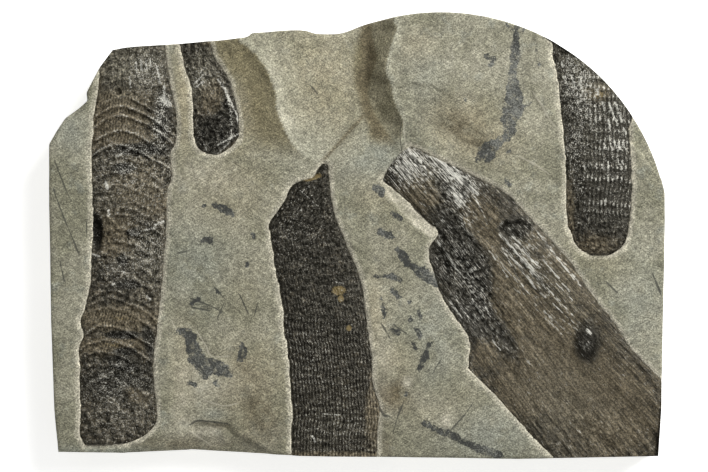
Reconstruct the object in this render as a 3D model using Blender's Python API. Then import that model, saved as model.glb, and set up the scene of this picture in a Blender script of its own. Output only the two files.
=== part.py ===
"""A plate of grey Carboniferous shale with five coalified plant stems lying in it.

The plate lies on its flat back, with the fossils up. X runs across it, Y runs up it, Z is its
thickness. The origin is the middle of the back. Points on the bedding plane are in millimetres.
"""

from typing import NamedTuple

import bmesh
import bpy
import numpy as np
from mathutils import Vector, noise

MM = 0.001

# Plate
PLATE_WIDTH = 305 * MM
PLATE_DEPTH = 221 * MM
BED_HEIGHT = 25 * MM
ROUND_RADIUS = 113.3 * MM
ROUND_CENTRE = (41.4, -2.6)
ROUND_ANGLES = (12, 101)
ROUND_STEPS = 16
ROUND_BROKEN = 0.25
RELIEF_SPACING = 1.8 * MM
RELIEF_MARGIN = 6 * MM
RELIEF_KEPT = 0.036

# Bedding plane
WAVE_LENGTH = 46 * MM
WAVE_HEIGHT = 0.7 * MM
WAVE_SEED = 3.1
RIPPLE_LENGTH = 15 * MM
RIPPLE_HEIGHT = 0.35 * MM
RIPPLE_SEED = 8.7
EDGE_FALL = 1.2 * MM
EDGE_FALL_FROM = 88
EDGE_FALL_TO = 112

# Higher block at the top right
BLOCK_STEP = 2.6 * MM
BLOCK_BLEND = 16 * MM
LEDGE_CREST = [(22, 125), (18.5, 107), (20, 103), (16.5, 92.5), (14.5, 82), (17, 75), (18.5, 67.5),
               (21, 61.5), (23, 56), (22, 47), (22, 42)]
LEDGE_SLOPE = 0.8
BLOCK_LINE = [(22, 42), (33, 26), (60, 8), (85, -18), (112, -52), (150, -92)]

# Scooped hollow between its crest on the left and the ledge on the right
CREST_TOP = (-59, 96)
CREST_FOOT = (-18, 37)
CREST_RISE = 1.5 * MM
CREST_FLANK = 19 * MM
HOLLOW_DEPTH = 7.5 * MM
HOLLOW_REACH = 25 * MM
FACET_CORNER = (-15, 37)
FACET_ALONG = (0.64, 0.77)
FACET_START = 0.3 * MM
FACET_DIP = 0.16
FACET_CLIMB = 0.15
HOLLOW_FROM = 34
HOLLOW_FULL = 60
CREST_BOW = 2.5
CREST_BOW_LENGTH = 30 * MM
CREST_SEED = 5.5

# Small dips in the surface: name, centre and half sizes in mm, turn in degrees, depth in metres
DIPS = [
    ("bottom chip", (-72, -104), (17, 10), 0, 3.2 * MM),
    ("brown scoop", (50, 50), (24, 9), -32, 1.7 * MM),
    ("crest notch", (-59, 83), (8, 9), 20, 1.3 * MM),
    ("left shoulder", (-146, 62), (14, 11), 40, 2.0 * MM),
    ("lower gully", (-54, -88), (7, 17), 25, 0.8 * MM),
    ("right foot", (150, -60), (9, 50), 0, 0.8 * MM),
]
DIP_SLOPE = 0.8

# Broken stretch of the outline, from the round corner to the left side
BROKEN_EDGE = [(12, 107), (3.5, 105), (-4, 102), (-10, 100.5), (-20, 100.5), (-26, 102), (-35, 102),
               (-46, 101), (-52, 100.5), (-55, 98.5), (-66.5, 97), (-73, 96.5), (-84, 95.5),
               (-111.5, 93.5), (-121, 92), (-127.5, 83.5), (-134, 71), (-133.5, 67), (-137.5, 63.5),
               (-144.5, 58.5), (-148.5, 52.5), (-152.5, 45.5)]
# Sawn stretch: down the left side, along the bottom and up the right side
SAWN_EDGE = [(-152.5, 15), (-151.5, -42), (-150, -86), (-148, -107), (-116, -107.5), (-82, -106),
             (-28, -109), (12, -109.5), (80, -110.5), (149, -109), (150.5, -85), (151.5, -36),
             (152.3, 5)]
# Height up the side wall, and how far a broken and a sawn wall stand back there
WALL_LEVELS = [(-2, -4.0, 0), (6, -2.2, 0), (7.5, -3.0, 0), (14, -0.9, 0), (15.5, -1.8, 0),
               (21, 0, 0), (26, -0.6, -0.2), (36, -3.5, -1.2)]

# Stems: what both long edges pass through, from the top end to the bottom end, in mm
STEM_THICKNESS = 7.5 * MM
STEM_SINK = 0.7 * MM
STEM_DRAFT = 1.4
CROWN_POWER = 0.7
RIDGE_POWER = 0.3
ARCH_TAPER = 5
POCKET_GAP = 0.3 * MM
TRENCH_FOOT = 0.9
TRENCH_WIDTH = 3.0
TRENCH_DEPTH = 1.4 * MM
TRENCH_LIP = 0.5 * MM
TRENCH_ABOVE = 6.0 * MM

LEFT_EDGES = (
    [(-126.5, 104), (-128, 75.5), (-130.5, 59.5), (-130.5, 51), (-131.5, 42.5), (-131, 9.5),
     (-131.5, -12), (-132, -23.5), (-135, -36.5), (-137, -42.5), (-135.5, -48.5), (-137.5, -57),
     (-137, -73.5), (-137, -89.5), (-137.5, -97), (-135, -103.5)],
    [(-96, 104), (-94, 83.5), (-92, 71.5), (-90, 62.5), (-89.5, 54), (-90, 46), (-92.5, 41),
     (-92, 28.5), (-94, 22.5), (-94.5, 7.5), (-97, -25), (-99.5, -48), (-101, -67), (-99.5, -83.5),
     (-100, -93), (-105.5, -99), (-113.5, -102.5)],
)
SMALL_EDGES = (
    [(-88.5, 104), (-87, 91), (-85.5, 84), (-82.5, 75.5), (-81.5, 67.5), (-81, 52), (-79, 44.5),
     (-74.5, 41)],
    [(-74.5, 104), (-71, 89.5), (-67.5, 84), (-63.5, 77), (-61.5, 70), (-59, 61), (-58.5, 52.5),
     (-59, 48.5), (-62.5, 44), (-68, 40.5)],
)
MIDDLE_EDGES = (
    [(-17, 36), (-19.5, 33), (-22, 29), (-31.5, 25.5), (-36.5, 16.5), (-43, 7), (-43, 1), (-40.5, -17),
     (-37, -33.5), (-36, -47), (-34, -59.5), (-32.5, -79), (-32, -90), (-32.5, -104), (-32.5, -120)],
    [(-14.5, 35), (-14, 30), (-13.5, 24), (-12, 14.5), (-9, 4.5), (-5, -5), (2, -23), (4.5, -41.5),
     (7, -59.5), (7.5, -71), (9, -79), (11, -85), (10, -97), (10, -120)],
)
DIAGONAL_EDGES = (
    [(13, 27.5), (26, 16), (36.5, 6), (40, 1), (36, -5), (35.5, -10), (38.5, -19.5), (43, -31.5),
     (52.5, -45.5), (56, -52.5), (55.5, -63.5), (57, -67), (72, -82.5), (87, -99), (130, -142)],
    [(26.5, 44.5), (45.5, 35.5), (60, 28.5), (68.5, 24), (76.5, 18.5), (85, 9), (102.5, -9.5),
     (109.5, -19.5), (120, -34.5), (125.5, -41), (136.5, -57), (148.5, -69.5), (185, -107)],
)
RIGHT_EDGES = (
    [(95.5, 112), (97, 89), (98.5, 82.5), (101.5, 58), (103, 37.5), (104, 10), (105.5, 2), (109, -5),
     (115, -9)],
    [(140, 112), (140, 67.5), (135, 55), (135.5, 37.5), (136, 24.5), (135.5, 15), (134, 1.5),
     (131.5, -5), (126, -9)],
)


class Stem(NamedTuple):
    """Heights in metres, lengths in mm. A ridge is one row, so the pitch sets the rows."""

    name: str
    edges: tuple
    crown: float
    pitch: float
    arch: float
    ridge: float
    columns: int
    rib: float
    colour: tuple


STEMS = [
    Stem("stem_left", LEFT_EDGES, 1.9 * MM, 5.6, 5.5, 0.55 * MM, 8, 0.0, (0.066, 0.060, 0.042)),
    Stem("stem_small", SMALL_EDGES, 1.3 * MM, 5.5, 2.5, 0.4 * MM, 6, 0.1 * MM, (0.040, 0.038, 0.031)),
    Stem("stem_middle", MIDDLE_EDGES, 2.1 * MM, 5.4, 1.0, 0.45 * MM, 8, 0.15 * MM, (0.044, 0.042, 0.033)),
    Stem("stem_diagonal", DIAGONAL_EDGES, 1.8 * MM, 12, -3, 0.3 * MM, 16, 0.35 * MM, (0.082, 0.076, 0.058)),
    Stem("stem_right", RIGHT_EDGES, 1.9 * MM, 5.0, 1.5, 0.45 * MM, 8, 0.3 * MM, (0.066, 0.062, 0.050)),
]
UNEVEN_LENGTH = 13 * MM
UNEVEN_HEIGHT = 0.5 * MM
UNEVEN_SEED = 1.7
GLOSSY_KNOB = ((114, -53), (12, 8), 0.9 * MM)
KNOB_SLOPE = 0.7

SHALE_COLOUR = (0.262, 0.254, 0.188)
SHALE_ROUGHNESS = 0.9
COAL_ROUGHNESS = 0.45


def clear_scene():
    for obj in list(bpy.data.objects):
        bpy.data.objects.remove(obj, do_unlink=True)


def material(name, colour, roughness):
    """A dull mineral finish with no metal in it."""
    made = bpy.data.materials.new(name)
    made.use_nodes = True
    shader = made.node_tree.nodes["Principled BSDF"]
    shader.inputs["Base Color"].default_value = (*colour, 1.0)
    shader.inputs["Roughness"].default_value = roughness
    shader.inputs["Metallic"].default_value = 0.0
    return made


def add_object(name, shape, finish=None):
    """Turns a finished bmesh into an object at the origin."""
    bmesh.ops.recalc_face_normals(shape, faces=shape.faces)
    mesh = bpy.data.meshes.new(name)
    shape.to_mesh(mesh)
    shape.free()
    obj = bpy.data.objects.new(name, mesh)
    bpy.context.scene.collection.objects.link(obj)
    if finish:
        mesh.materials.append(finish)
    return obj


def as_cutter(obj):
    obj.hide_render = True
    obj.display_type = "WIRE"
    return obj


def add_boolean(obj, operation, cutter):
    step = obj.modifiers.new(f"{operation.lower()} {cutter.name}", "BOOLEAN")
    step.operation = operation
    step.solver = "EXACT"
    step.object = cutter


# Helpers on the bedding plane

def smooth(value, low, high):
    """0 at low, 1 at high, and a soft S between them."""
    share = min(1.0, max(0.0, (value - low) / (high - low)))
    return share * share * (3 - 2 * share)


def along(points, share):
    """The point at a share of the length of a line of points."""
    ends = np.asarray(points, float)
    lengths = np.hypot(*np.diff(ends, axis=0).T)
    at = np.concatenate([[0], np.cumsum(lengths)])
    return np.array([np.interp(share * at[-1], at, ends[:, axis]) for axis in (0, 1)])


def length_of(points):
    return float(np.hypot(*np.diff(np.asarray(points, float), axis=0).T).sum())


def side_of(x, y, line):
    """Distance to a line of points in mm, positive on its right hand side."""
    nearest, sign = 1e9, 1.0
    for (ax, ay), (bx, by) in zip(line, line[1:]):
        ux, uy = bx - ax, by - ay
        share = ((x - ax) * ux + (y - ay) * uy) / (ux * ux + uy * uy)
        share = min(1.0, max(0.0, share))
        dx, dy = x - ax - share * ux, y - ay - share * uy
        distance = (dx * dx + dy * dy) ** 0.5
        if distance < nearest:
            nearest = distance
            sign = 1.0 if uy * dx - ux * dy > 0 else -1.0
    return sign * nearest


def waves(x, y, length, seed):
    """Smooth noise between -1 and 1 whose lumps are about half of length across."""
    return noise.noise(Vector((x * MM / length, y * MM / length, seed)))


# Height of the bedding plane

def bed_and_block(x, y):
    """Height of the bedding plane, and how far on to the higher block the point is, 0 to 1."""
    level = BED_HEIGHT
    level += WAVE_HEIGHT * waves(x, y, WAVE_LENGTH, WAVE_SEED)
    level += RIPPLE_HEIGHT * waves(x, y, RIPPLE_LENGTH, RIPPLE_SEED)
    level -= EDGE_FALL * smooth(-y, EDGE_FALL_FROM, EDGE_FALL_TO)
    if y > BLOCK_LINE[0][1]:
        over = 1.0 if side_of(x, y, LEDGE_CREST) < 0 else 0.0
    else:
        over = smooth(-side_of(x, y, BLOCK_LINE), -BLOCK_BLEND / MM, BLOCK_BLEND / MM)
    return level, over


def hollow(x, y):
    """Lowest of the faces that broke away: the floor, the facet below it and the ledge's wall."""
    run = (CREST_FOOT[0] - CREST_TOP[0], CREST_FOOT[1] - CREST_TOP[1])
    size = (run[0] ** 2 + run[1] ** 2) ** 0.5
    from_crest = ((x - CREST_TOP[0]) * -run[1] + (y - CREST_TOP[1]) * run[0]) / size
    bow = CREST_BOW * waves(x, y, CREST_BOW_LENGTH, CREST_SEED)
    beyond = max(0.0, from_crest + bow)
    floor = BED_HEIGHT + CREST_RISE - HOLLOW_DEPTH * (1 - np.exp(-beyond * MM / HOLLOW_REACH))

    dx, dy = x - FACET_CORNER[0], y - FACET_CORNER[1]
    down = dx * FACET_ALONG[0] + dy * FACET_ALONG[1]
    across = dx * FACET_ALONG[1] - dy * FACET_ALONG[0]
    facet = BED_HEIGHT + FACET_START + MM * (FACET_CLIMB * across - FACET_DIP * down)

    from_ledge = side_of(x, y, LEDGE_CREST)
    wall = BED_HEIGHT + BLOCK_STEP - MM * LEDGE_SLOPE * from_ledge
    return max(floor, facet, wall), from_crest


def relief(x, y):
    """Height of the plate's face at a point given in mm."""
    level, over = bed_and_block(x, y)
    level += BLOCK_STEP * over
    if y > HOLLOW_FROM and side_of(x, y, LEDGE_CREST) > 0:
        broken, from_crest = hollow(x, y)
        flank = max(0.0, 1 + min(0.0, from_crest) * MM / CREST_FLANK)
        level += CREST_RISE * flank * smooth(y, HOLLOW_FROM, HOLLOW_FULL)
        level = min(level, broken)
    for _, centre, half, turn, depth in DIPS:
        away = oval_distance(x, y, centre, half, np.radians(turn))
        level -= depth * smooth(1 - away, 0.0, DIP_SLOPE)
    return level


def oval_distance(x, y, centre, half, turn=0.0):
    """0 at the middle of an oval and 1 on its rim."""
    dx, dy = x - centre[0], y - centre[1]
    across = (dx * np.cos(turn) + dy * np.sin(turn)) / half[0]
    up = (dy * np.cos(turn) - dx * np.sin(turn)) / half[1]
    return (across * across + up * up) ** 0.5


# Plate

def plate_outline():
    """Corner points of the plate, counter-clockwise from the foot of the round corner."""
    first, last = np.radians(ROUND_ANGLES)
    radius = ROUND_RADIUS / MM
    outline = []
    for step in range(ROUND_STEPS + 1):
        angle = first + (last - first) * step / ROUND_STEPS
        x = ROUND_CENTRE[0] + radius * np.cos(angle)
        outline.append((x, ROUND_CENTRE[1] + radius * np.sin(angle), ROUND_BROKEN))
    outline += [(x, y, 1.0) for x, y in BROKEN_EDGE]
    outline += [(x, y, 0.0) for x, y in SAWN_EDGE]
    return outline


def outward(points):
    """Unit normal at each corner of a counter-clockwise outline."""
    ring = np.asarray(points, float)
    chord = np.roll(ring, -1, axis=0) - np.roll(ring, 1, axis=0)
    normal = np.stack([chord[:, 1], -chord[:, 0]], axis=1)
    return normal / np.hypot(*normal.T)[:, None]


def layered_block(points, levels):
    """Extrudes an outline ring by ring; each level gives every corner's offset and height."""
    ring = np.asarray(points, float)
    normals = outward(ring)
    shape = bmesh.new()
    corners = [shape.verts.new((x * MM, y * MM, 0)) for x, y in ring]
    base = shape.faces.new(corners)
    edges = list(base.edges)
    order = {vert: index for index, vert in enumerate(corners)}
    place_ring(ring, normals, order, levels[0])
    for level in levels[1:]:
        made = bmesh.ops.extrude_edge_only(shape, edges=edges)["geom"]
        edges = [part for part in made if isinstance(part, bmesh.types.BMEdge)]
        risen = [part for part in made if isinstance(part, bmesh.types.BMVert)]
        order = match_corners(risen, order)
        place_ring(ring, normals, order, level)
    shape.faces.new(sorted(order, key=order.get))
    return shape


def match_corners(risen, order):
    """Which corner each newly extruded vertex stands over."""
    below = {(round(vert.co.x, 7), round(vert.co.y, 7)): index for vert, index in order.items()}
    return {vert: below[(round(vert.co.x, 7), round(vert.co.y, 7))] for vert in risen}


def place_ring(ring, normals, order, level):
    offsets, heights = level
    for vert, index in order.items():
        x, y = ring[index] + normals[index] * offsets[index]
        vert.co = (x * MM, y * MM, heights[index])


def plate_block(name):
    """The sawn and broken sides of the plate, as a block that everything in it is trimmed by."""
    outline = plate_outline()
    points = [(x, y) for x, y, _ in outline]
    rough = [share for _, _, share in outline]
    levels = []
    for height, broken, sawn in WALL_LEVELS:
        offsets = [share * broken + (1 - share) * sawn for share in rough]
        heights = [height * MM] * len(points)
        levels.append((offsets, heights))
    return as_cutter(add_object(name, layered_block(points, levels)))


def relief_block():
    """A block whose top is the bedding plane, before its sides are trimmed."""
    width = PLATE_WIDTH + 2 * RELIEF_MARGIN
    depth = PLATE_DEPTH + 2 * RELIEF_MARGIN
    shape = bmesh.new()
    bmesh.ops.create_grid(
        shape,
        x_segments=round(width / RELIEF_SPACING),
        y_segments=round(depth / RELIEF_SPACING),
        size=0.5,
    )
    bmesh.ops.scale(shape, vec=(width, depth, 1), verts=shape.verts)
    top = list(shape.verts)
    made = bmesh.ops.extrude_face_region(shape, geom=shape.faces[:] + shape.edges[:] + top)["geom"]
    raised = [part for part in made if isinstance(part, bmesh.types.BMVert)]
    for vert in raised:
        vert.co.z = relief(vert.co.x / MM, vert.co.y / MM)
    return shape


def shale_slab(block, pockets):
    finish = material("grey_shale", SHALE_COLOUR, SHALE_ROUGHNESS)
    slab = add_object("shale_slab", relief_block(), finish)
    thinned = slab.modifiers.new("fewer faces where it is flat", "DECIMATE")
    thinned.ratio = RELIEF_KEPT
    add_boolean(slab, "INTERSECT", block)
    cut = slab.modifiers.new("stem pockets", "BOOLEAN")
    cut.operation = "DIFFERENCE"
    cut.solver = "EXACT"
    cut.operand_type = "COLLECTION"
    cut.collection = pockets
    return slab


# Stems

def stem_floor(edges):
    """Height of a stem's flat underside, so that its thinnest edge keeps its thickness."""
    middle = [along(edges[0], 0.5), along(edges[1], 0.5)]
    x, y = (middle[0] + middle[1]) / 2
    return relief(x, y) - STEM_THICKNESS


def stem_point(stem, share, across, drawn_in=0.0):
    """A point on the stem: share runs down it, and across runs from its left edge to its right."""
    left, right = stem.edges
    taper = min(1.0, ARCH_TAPER * share, ARCH_TAPER * (1 - share))
    bend = stem.arch * (2 * across - 1) ** 2 * taper
    share = min(1.0, max(0.0, share + bend / length_of(left)))
    first, last = along(left, share), along(right, share)
    width = np.hypot(*(last - first))
    across = 0.5 + (across - 0.5) * max(0.0, 1 - 2 * drawn_in / width)
    return first + (last - first) * across


def stem_height(stem, x, y, across, row, column):
    """The stem's crown, with a ridge on every other row and a rib on every other column."""
    bulge = 1 - (2 * across - 1) ** 2
    height = relief(x, y) - STEM_SINK + stem.crown * bulge ** CROWN_POWER
    height += stem.ridge * (1 if row % 2 else -1) * bulge ** RIDGE_POWER
    height += stem.rib * (1 if column % 2 else -1) * bulge ** RIDGE_POWER
    height += UNEVEN_HEIGHT * waves(x, y, UNEVEN_LENGTH, UNEVEN_SEED)
    if stem.edges is DIAGONAL_EDGES:
        centre, half, knob = GLOSSY_KNOB
        height += knob * smooth(1 - oval_distance(x, y, centre, half), 0, KNOB_SLOPE)
    return height


def stem_solid(stem):
    """Rows run across the stem, one on each ridge and one in each furrow between two ridges."""
    rows = 2 * round(length_of(stem.edges[0]) / stem.pitch)
    floor = stem_floor(stem.edges) + POCKET_GAP
    shape = bmesh.new()
    bmesh.ops.create_grid(shape, x_segments=stem.columns, y_segments=rows, size=1.0)
    made = bmesh.ops.extrude_face_region(shape, geom=shape.faces[:] + shape.edges[:] + shape.verts[:])
    raised = {part for part in made["geom"] if isinstance(part, bmesh.types.BMVert)}
    column_below = {}
    for vert in shape.verts:
        across, share = (vert.co.x + 1) / 2, (1 - vert.co.y) / 2
        row, column = round(share * rows), round(across * stem.columns)
        if vert in raised:
            x, y = stem_point(stem, share, across)
            height = stem_height(stem, x, y, across, row, column)
        else:
            x, y = stem_point(stem, share, across, drawn_in=STEM_DRAFT)
            height = floor
            column_below[vert] = column
        vert.co = (x * MM, y * MM, height)
    dissolve_lengthwise(shape, column_below, stem.columns)
    finish = material(stem.name.replace("stem", "coal"), stem.colour, COAL_ROUGHNESS)
    return add_object(stem.name, shape, finish)


def dissolve_lengthwise(shape, column_below, columns):
    """The underside is flat across, so each of its rows becomes a single face."""
    lengthwise = []
    for edge in shape.edges:
        first, last = (column_below.get(vert) for vert in edge.verts)
        if first is not None and first == last and 0 < first < columns:
            lengthwise.append(edge)
    bmesh.ops.dissolve_edges(shape, edges=lengthwise, use_verts=True)


def pocket_cutter(name, edges):
    """The bed that a stem lies in, with the trench that was cut round it when it was cleaned."""
    points = [tuple(point) for point in edges[0]] + [tuple(point) for point in reversed(edges[1])]
    floor = stem_floor(edges)
    knee = [relief(x, y) - TRENCH_DEPTH for x, y in points]
    lip = [height + TRENCH_DEPTH + TRENCH_LIP for height in knee]
    above = [height + TRENCH_ABOVE for height in knee]
    count = len(points)
    levels = [
        ([TRENCH_FOOT] * count, [floor] * count),
        ([TRENCH_FOOT] * count, knee),
        ([TRENCH_WIDTH] * count, lip),
        ([TRENCH_WIDTH] * count, above),
    ]
    return as_cutter(add_object(f"pocket of {name}", layered_block(points, levels)))


def main():
    clear_scene()
    block = plate_block("plate sides")
    pockets = bpy.data.collections.new("pockets")
    bpy.context.scene.collection.children.link(pockets)
    for stem in STEMS:
        add_boolean(stem_solid(stem), "INTERSECT", block)
        pocket = pocket_cutter(stem.name, stem.edges)
        bpy.context.scene.collection.objects.unlink(pocket)
        pockets.objects.link(pocket)
    shale_slab(block, pockets)


main()
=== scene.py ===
# %% [markdown]
# # A plate of shale with five coalified stems
#
# The object is a flat plate of grey shale, about 300 million years old. Five lengths of plant
# stem lie in its face. Mud buried them, and heat turned their tissue to coal. We start from the
# solids of the plate, which give its size and place, and dress them with fine meshes and with
# materials that are worked out from noise and distances, without any picture.

import math

import bmesh
import bpy
import numpy as np
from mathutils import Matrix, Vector, noise


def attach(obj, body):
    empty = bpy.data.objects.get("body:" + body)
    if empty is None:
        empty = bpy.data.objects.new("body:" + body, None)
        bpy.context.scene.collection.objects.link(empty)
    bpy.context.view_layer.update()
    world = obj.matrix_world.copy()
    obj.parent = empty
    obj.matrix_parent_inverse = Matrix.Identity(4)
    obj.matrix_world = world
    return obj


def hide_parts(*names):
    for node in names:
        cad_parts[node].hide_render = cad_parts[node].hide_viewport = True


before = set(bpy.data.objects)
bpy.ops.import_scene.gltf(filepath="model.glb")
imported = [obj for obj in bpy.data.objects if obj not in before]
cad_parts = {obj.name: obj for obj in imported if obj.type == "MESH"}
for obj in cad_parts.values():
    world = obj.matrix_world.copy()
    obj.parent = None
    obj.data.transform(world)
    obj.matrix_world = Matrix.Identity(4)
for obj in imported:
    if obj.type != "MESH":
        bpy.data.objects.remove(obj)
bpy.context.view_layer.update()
MM = 0.001

# %% [markdown]
# ## Camera, floor and light
#
# The plate was laid down and seen from straight above through a long lens, so its sides hardly
# show. The camera hangs 1.6 m over it. The light is a studio's: a broad soft lamp at the upper
# right shows the relief, and a pale room fills the shadows. A white sheet that is lit as brightly
# as this one is leaves almost no shadow, so the floor gives off a little light of its own.

# %% Camera
PHOTO_WIDTH, PHOTO_HEIGHT = 708, 472
MM_PER_PIXEL = 0.495
PLATE_MIDDLE_PIXEL = (357, 236)
SENSOR = 36.0
CAMERA_HEIGHT = 1.6
BED_LEVEL = 25.5 * MM


def add_object(name, data):
    made = bpy.data.objects.new(name, data)
    bpy.context.scene.collection.objects.link(made)
    return made


camera_data = bpy.data.cameras.new("camera")
camera = add_object("camera", camera_data)
bpy.context.scene.camera = camera
view_width = PHOTO_WIDTH * MM_PER_PIXEL * MM
camera_data.sensor_width = SENSOR
camera_data.lens = SENSOR * (CAMERA_HEIGHT - BED_LEVEL) / view_width
camera_x = (PHOTO_WIDTH / 2 - PLATE_MIDDLE_PIXEL[0]) * MM_PER_PIXEL * MM
camera_y = (PLATE_MIDDLE_PIXEL[1] - PHOTO_HEIGHT / 2) * MM_PER_PIXEL * MM
camera.location = (camera_x, camera_y, CAMERA_HEIGHT)
print("lens in mm:", round(camera_data.lens, 1))

# %% Helpers for meshes and materials
# Noise runs from about 0.3 to 0.7, so these are the limits where nothing else is said.
NOISE_LOW, NOISE_HIGH = 0.3, 0.7
# The mask of a fine line ends at this distance in mm, whatever its width.
LINE_REACH = 1.6


def linear(code):
    """An sRGB hex colour as the linear values that a shader reads."""
    values = [int(code[at:at + 2], 16) / 255 for at in (1, 3, 5)]
    turned = [v / 12.92 if v <= 0.04045 else ((v + 0.055) / 1.055) ** 2.4 for v in values]
    return (*turned, 1.0)


def mesh_object(name, shape):
    mesh = bpy.data.meshes.new(name)
    shape.to_mesh(mesh)
    shape.free()
    return add_object(name, mesh)


class Shader:
    """A new material with a short call for each kind of node. A colour may be a hex code."""

    def __init__(self, name):
        self.material = bpy.data.materials.new(name)
        self.material.use_nodes = True
        self.tree = self.material.node_tree
        self.tree.nodes.clear()

    def add(self, kind, inputs=None, **settings):
        """Adds a node. An input takes a value, or the output of another node to link."""
        made = self.tree.nodes.new(kind)
        for name, value in settings.items():
            setattr(made, name, value)
        for name, value in (inputs or {}).items():
            if isinstance(value, bpy.types.NodeSocket):
                self.tree.links.new(value, made.inputs[name])
            else:
                made.inputs[name].default_value = linear(value) if isinstance(value, str) else value
        return made

    def maths(self, operation, *values):
        return self.add("ShaderNodeMath", dict(enumerate(values)), operation=operation).outputs[0]

    def plus(self, first, second):
        return self.maths("ADD", first, second)

    def times(self, first, second, added=None):
        """The product of two values, with a third one added to it where there is one."""
        if added is None:
            return self.maths("MULTIPLY", first, second)
        return self.maths("MULTIPLY_ADD", first, second, added)

    def blend(self, factor, first, second, mode="MIX"):
        mixed = self.add("ShaderNodeMix", {0: factor, 6: first, 7: second},
                         data_type="RGBA", blend_type=mode)
        return mixed.outputs[2]

    def ramp(self, value, low, high, start=0.0, end=1.0):
        made = self.add("ShaderNodeMapRange", {
            "Value": value, "From Min": low, "From Max": high, "To Min": start, "To Max": end,
        }, interpolation_type="SMOOTHSTEP")
        return made.outputs[0]

    def shade(self, colour, value, darkest, lightest, low=NOISE_LOW, high=NOISE_HIGH, amount=1.0):
        """Darkens a colour where a value is low and lightens it where the value is high."""
        return self.blend(amount, colour, self.ramp(value, low, high, darkest, lightest), "MULTIPLY")

    def grain(self, size, detail, rough, stretch=(1, 1, 1), turn=0.0, move=0.0, flow=None):
        """Noise with lumps of a size in mm, over the object or along the flow of its strands."""
        place = flow or self.add("ShaderNodeTexCoord").outputs["Object"]
        mapped = self.add("ShaderNodeMapping", {
            "Vector": place, "Location": (move, move, move),
            "Rotation": (0, 0, math.radians(turn)), "Scale": stretch,
        }, vector_type="TEXTURE")
        made = self.add("ShaderNodeTexNoise", {
            "Vector": mapped.outputs[0], "Scale": 1.0 / (size * (1.0 if flow else MM)),
            "Detail": detail, "Roughness": rough,
        })
        return made.outputs[0]

    def point(self, name):
        """A number that each point of the mesh keeps."""
        return self.add("ShaderNodeAttribute", attribute_name=name).outputs["Fac"]

    def fine_line(self, name, reach_name, width):
        """A mask of the fine lines that a signed distance describes, with an uneven width."""
        past = self.maths("SUBTRACT", self.maths("ABSOLUTE", self.point(name)), width)
        beside = self.maths("LESS_THAN", self.point(reach_name), LINE_REACH)
        return self.times(self.ramp(past, 0.25, -0.1), beside)

    def bump(self, strength, height_mm, pattern):
        return self.add("ShaderNodeBump", {
            "Strength": strength, "Distance": height_mm * MM, "Height": pattern,
        }).outputs[0]

    def surface(self, inputs):
        """Ends the material with a Principled surface."""
        made = self.add("ShaderNodeBsdfPrincipled", inputs)
        self.add("ShaderNodeOutputMaterial", {"Surface": made.outputs[0]})
        return self.material


# %% Floor and lights
FLOOR_SIZE = 6.0
FLOOR_COLOUR = "#FBFBFA"
FLOOR_GLOW = 0.7
LAMP_SIZE = 0.9
LAMP_POWER = 32
LAMP_DISTANCE = 1.7
LAMP_AZIMUTH = 42
LAMP_ELEVATION = 42
ROOM_STRENGTH = 0.27

floor_material = Shader("white_sweep").surface({
    "Base Color": FLOOR_COLOUR, "Roughness": 0.9,
    "Emission Color": FLOOR_COLOUR, "Emission Strength": FLOOR_GLOW,
})
floor_shape = bmesh.new()
bmesh.ops.create_grid(floor_shape, x_segments=1, y_segments=1, size=FLOOR_SIZE / 2)
floor = mesh_object("floor", floor_shape)
floor.data.materials.append(floor_material)

world = bpy.data.worlds.new("pale room")
bpy.context.scene.world = world
world.use_nodes = True
background = world.node_tree.nodes["Background"]
background.inputs["Color"].default_value = (1.0, 1.0, 1.0, 1.0)
background.inputs["Strength"].default_value = ROOM_STRENGTH
bpy.context.scene.view_settings.view_transform = "Standard"

lamp_data = bpy.data.lights.new("soft lamp", "AREA")
lamp_data.shape = "SQUARE"
lamp_data.size = LAMP_SIZE
lamp_data.energy = LAMP_POWER
lamp = add_object("soft lamp", lamp_data)
turn, rise = math.radians(LAMP_AZIMUTH), math.radians(LAMP_ELEVATION)
towards = Vector((math.cos(turn) * math.cos(rise), math.sin(turn) * math.cos(rise), math.sin(rise)))
lamp.location = towards * LAMP_DISTANCE
lamp.rotation_euler = towards.to_track_quat("Z", "Y").to_euler()
print("lamp at", [round(value, 2) for value in lamp.location])

# %% [markdown]
# ## The layout of the plate
#
# Every place below is a point on the bedding plane in millimetres, with the middle of the plate at
# zero, X to the right and Y up. They are the same points that the solids are built from. A few
# listed points give each edge, and a smooth curve through them gives the rest.

# %% Outline of the plate
ROUND_RADIUS = 113.3
ROUND_CENTRE = (41.4, -2.6)
ROUND_FIRST, ROUND_LAST = 12, 101
BROKEN_TOP = [(12, 107), (3.5, 105), (-4, 102), (-10, 100.5), (-20, 100.5), (-26, 102), (-35, 102),
              (-46, 101), (-52, 100.5), (-55, 98.5), (-66.5, 97), (-73, 96.5), (-84, 95.5),
              (-111.5, 93.5), (-121, 92)]
BROKEN_LEFT = [(-121, 92), (-127.5, 83.5), (-134, 71), (-133.5, 67), (-137.5, 63.5), (-144.5, 58.5),
               (-148.5, 52.5), (-152.5, 45.5)]
SAWN_LEFT = [(-152.5, 45.5), (-152.5, 15), (-151.5, -42), (-150, -86), (-148, -107)]
SAWN_BOTTOM = [(-148, -107), (-116, -107.5), (-82, -106), (-28, -109), (12, -109.5), (80, -110.5),
               (149, -109)]
SAWN_RIGHT = [(149, -109), (150.5, -85), (151.5, -36), (152.3, 5)]


def round_corner(first, last, step=1.0):
    """Points on the round corner, which is part of one circle."""
    angles = np.radians(np.arange(first, last + step / 2, step))
    x = ROUND_CENTRE[0] + ROUND_RADIUS * np.cos(angles)
    return np.stack([x, ROUND_CENTRE[1] + ROUND_RADIUS * np.sin(angles)], axis=1)


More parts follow.
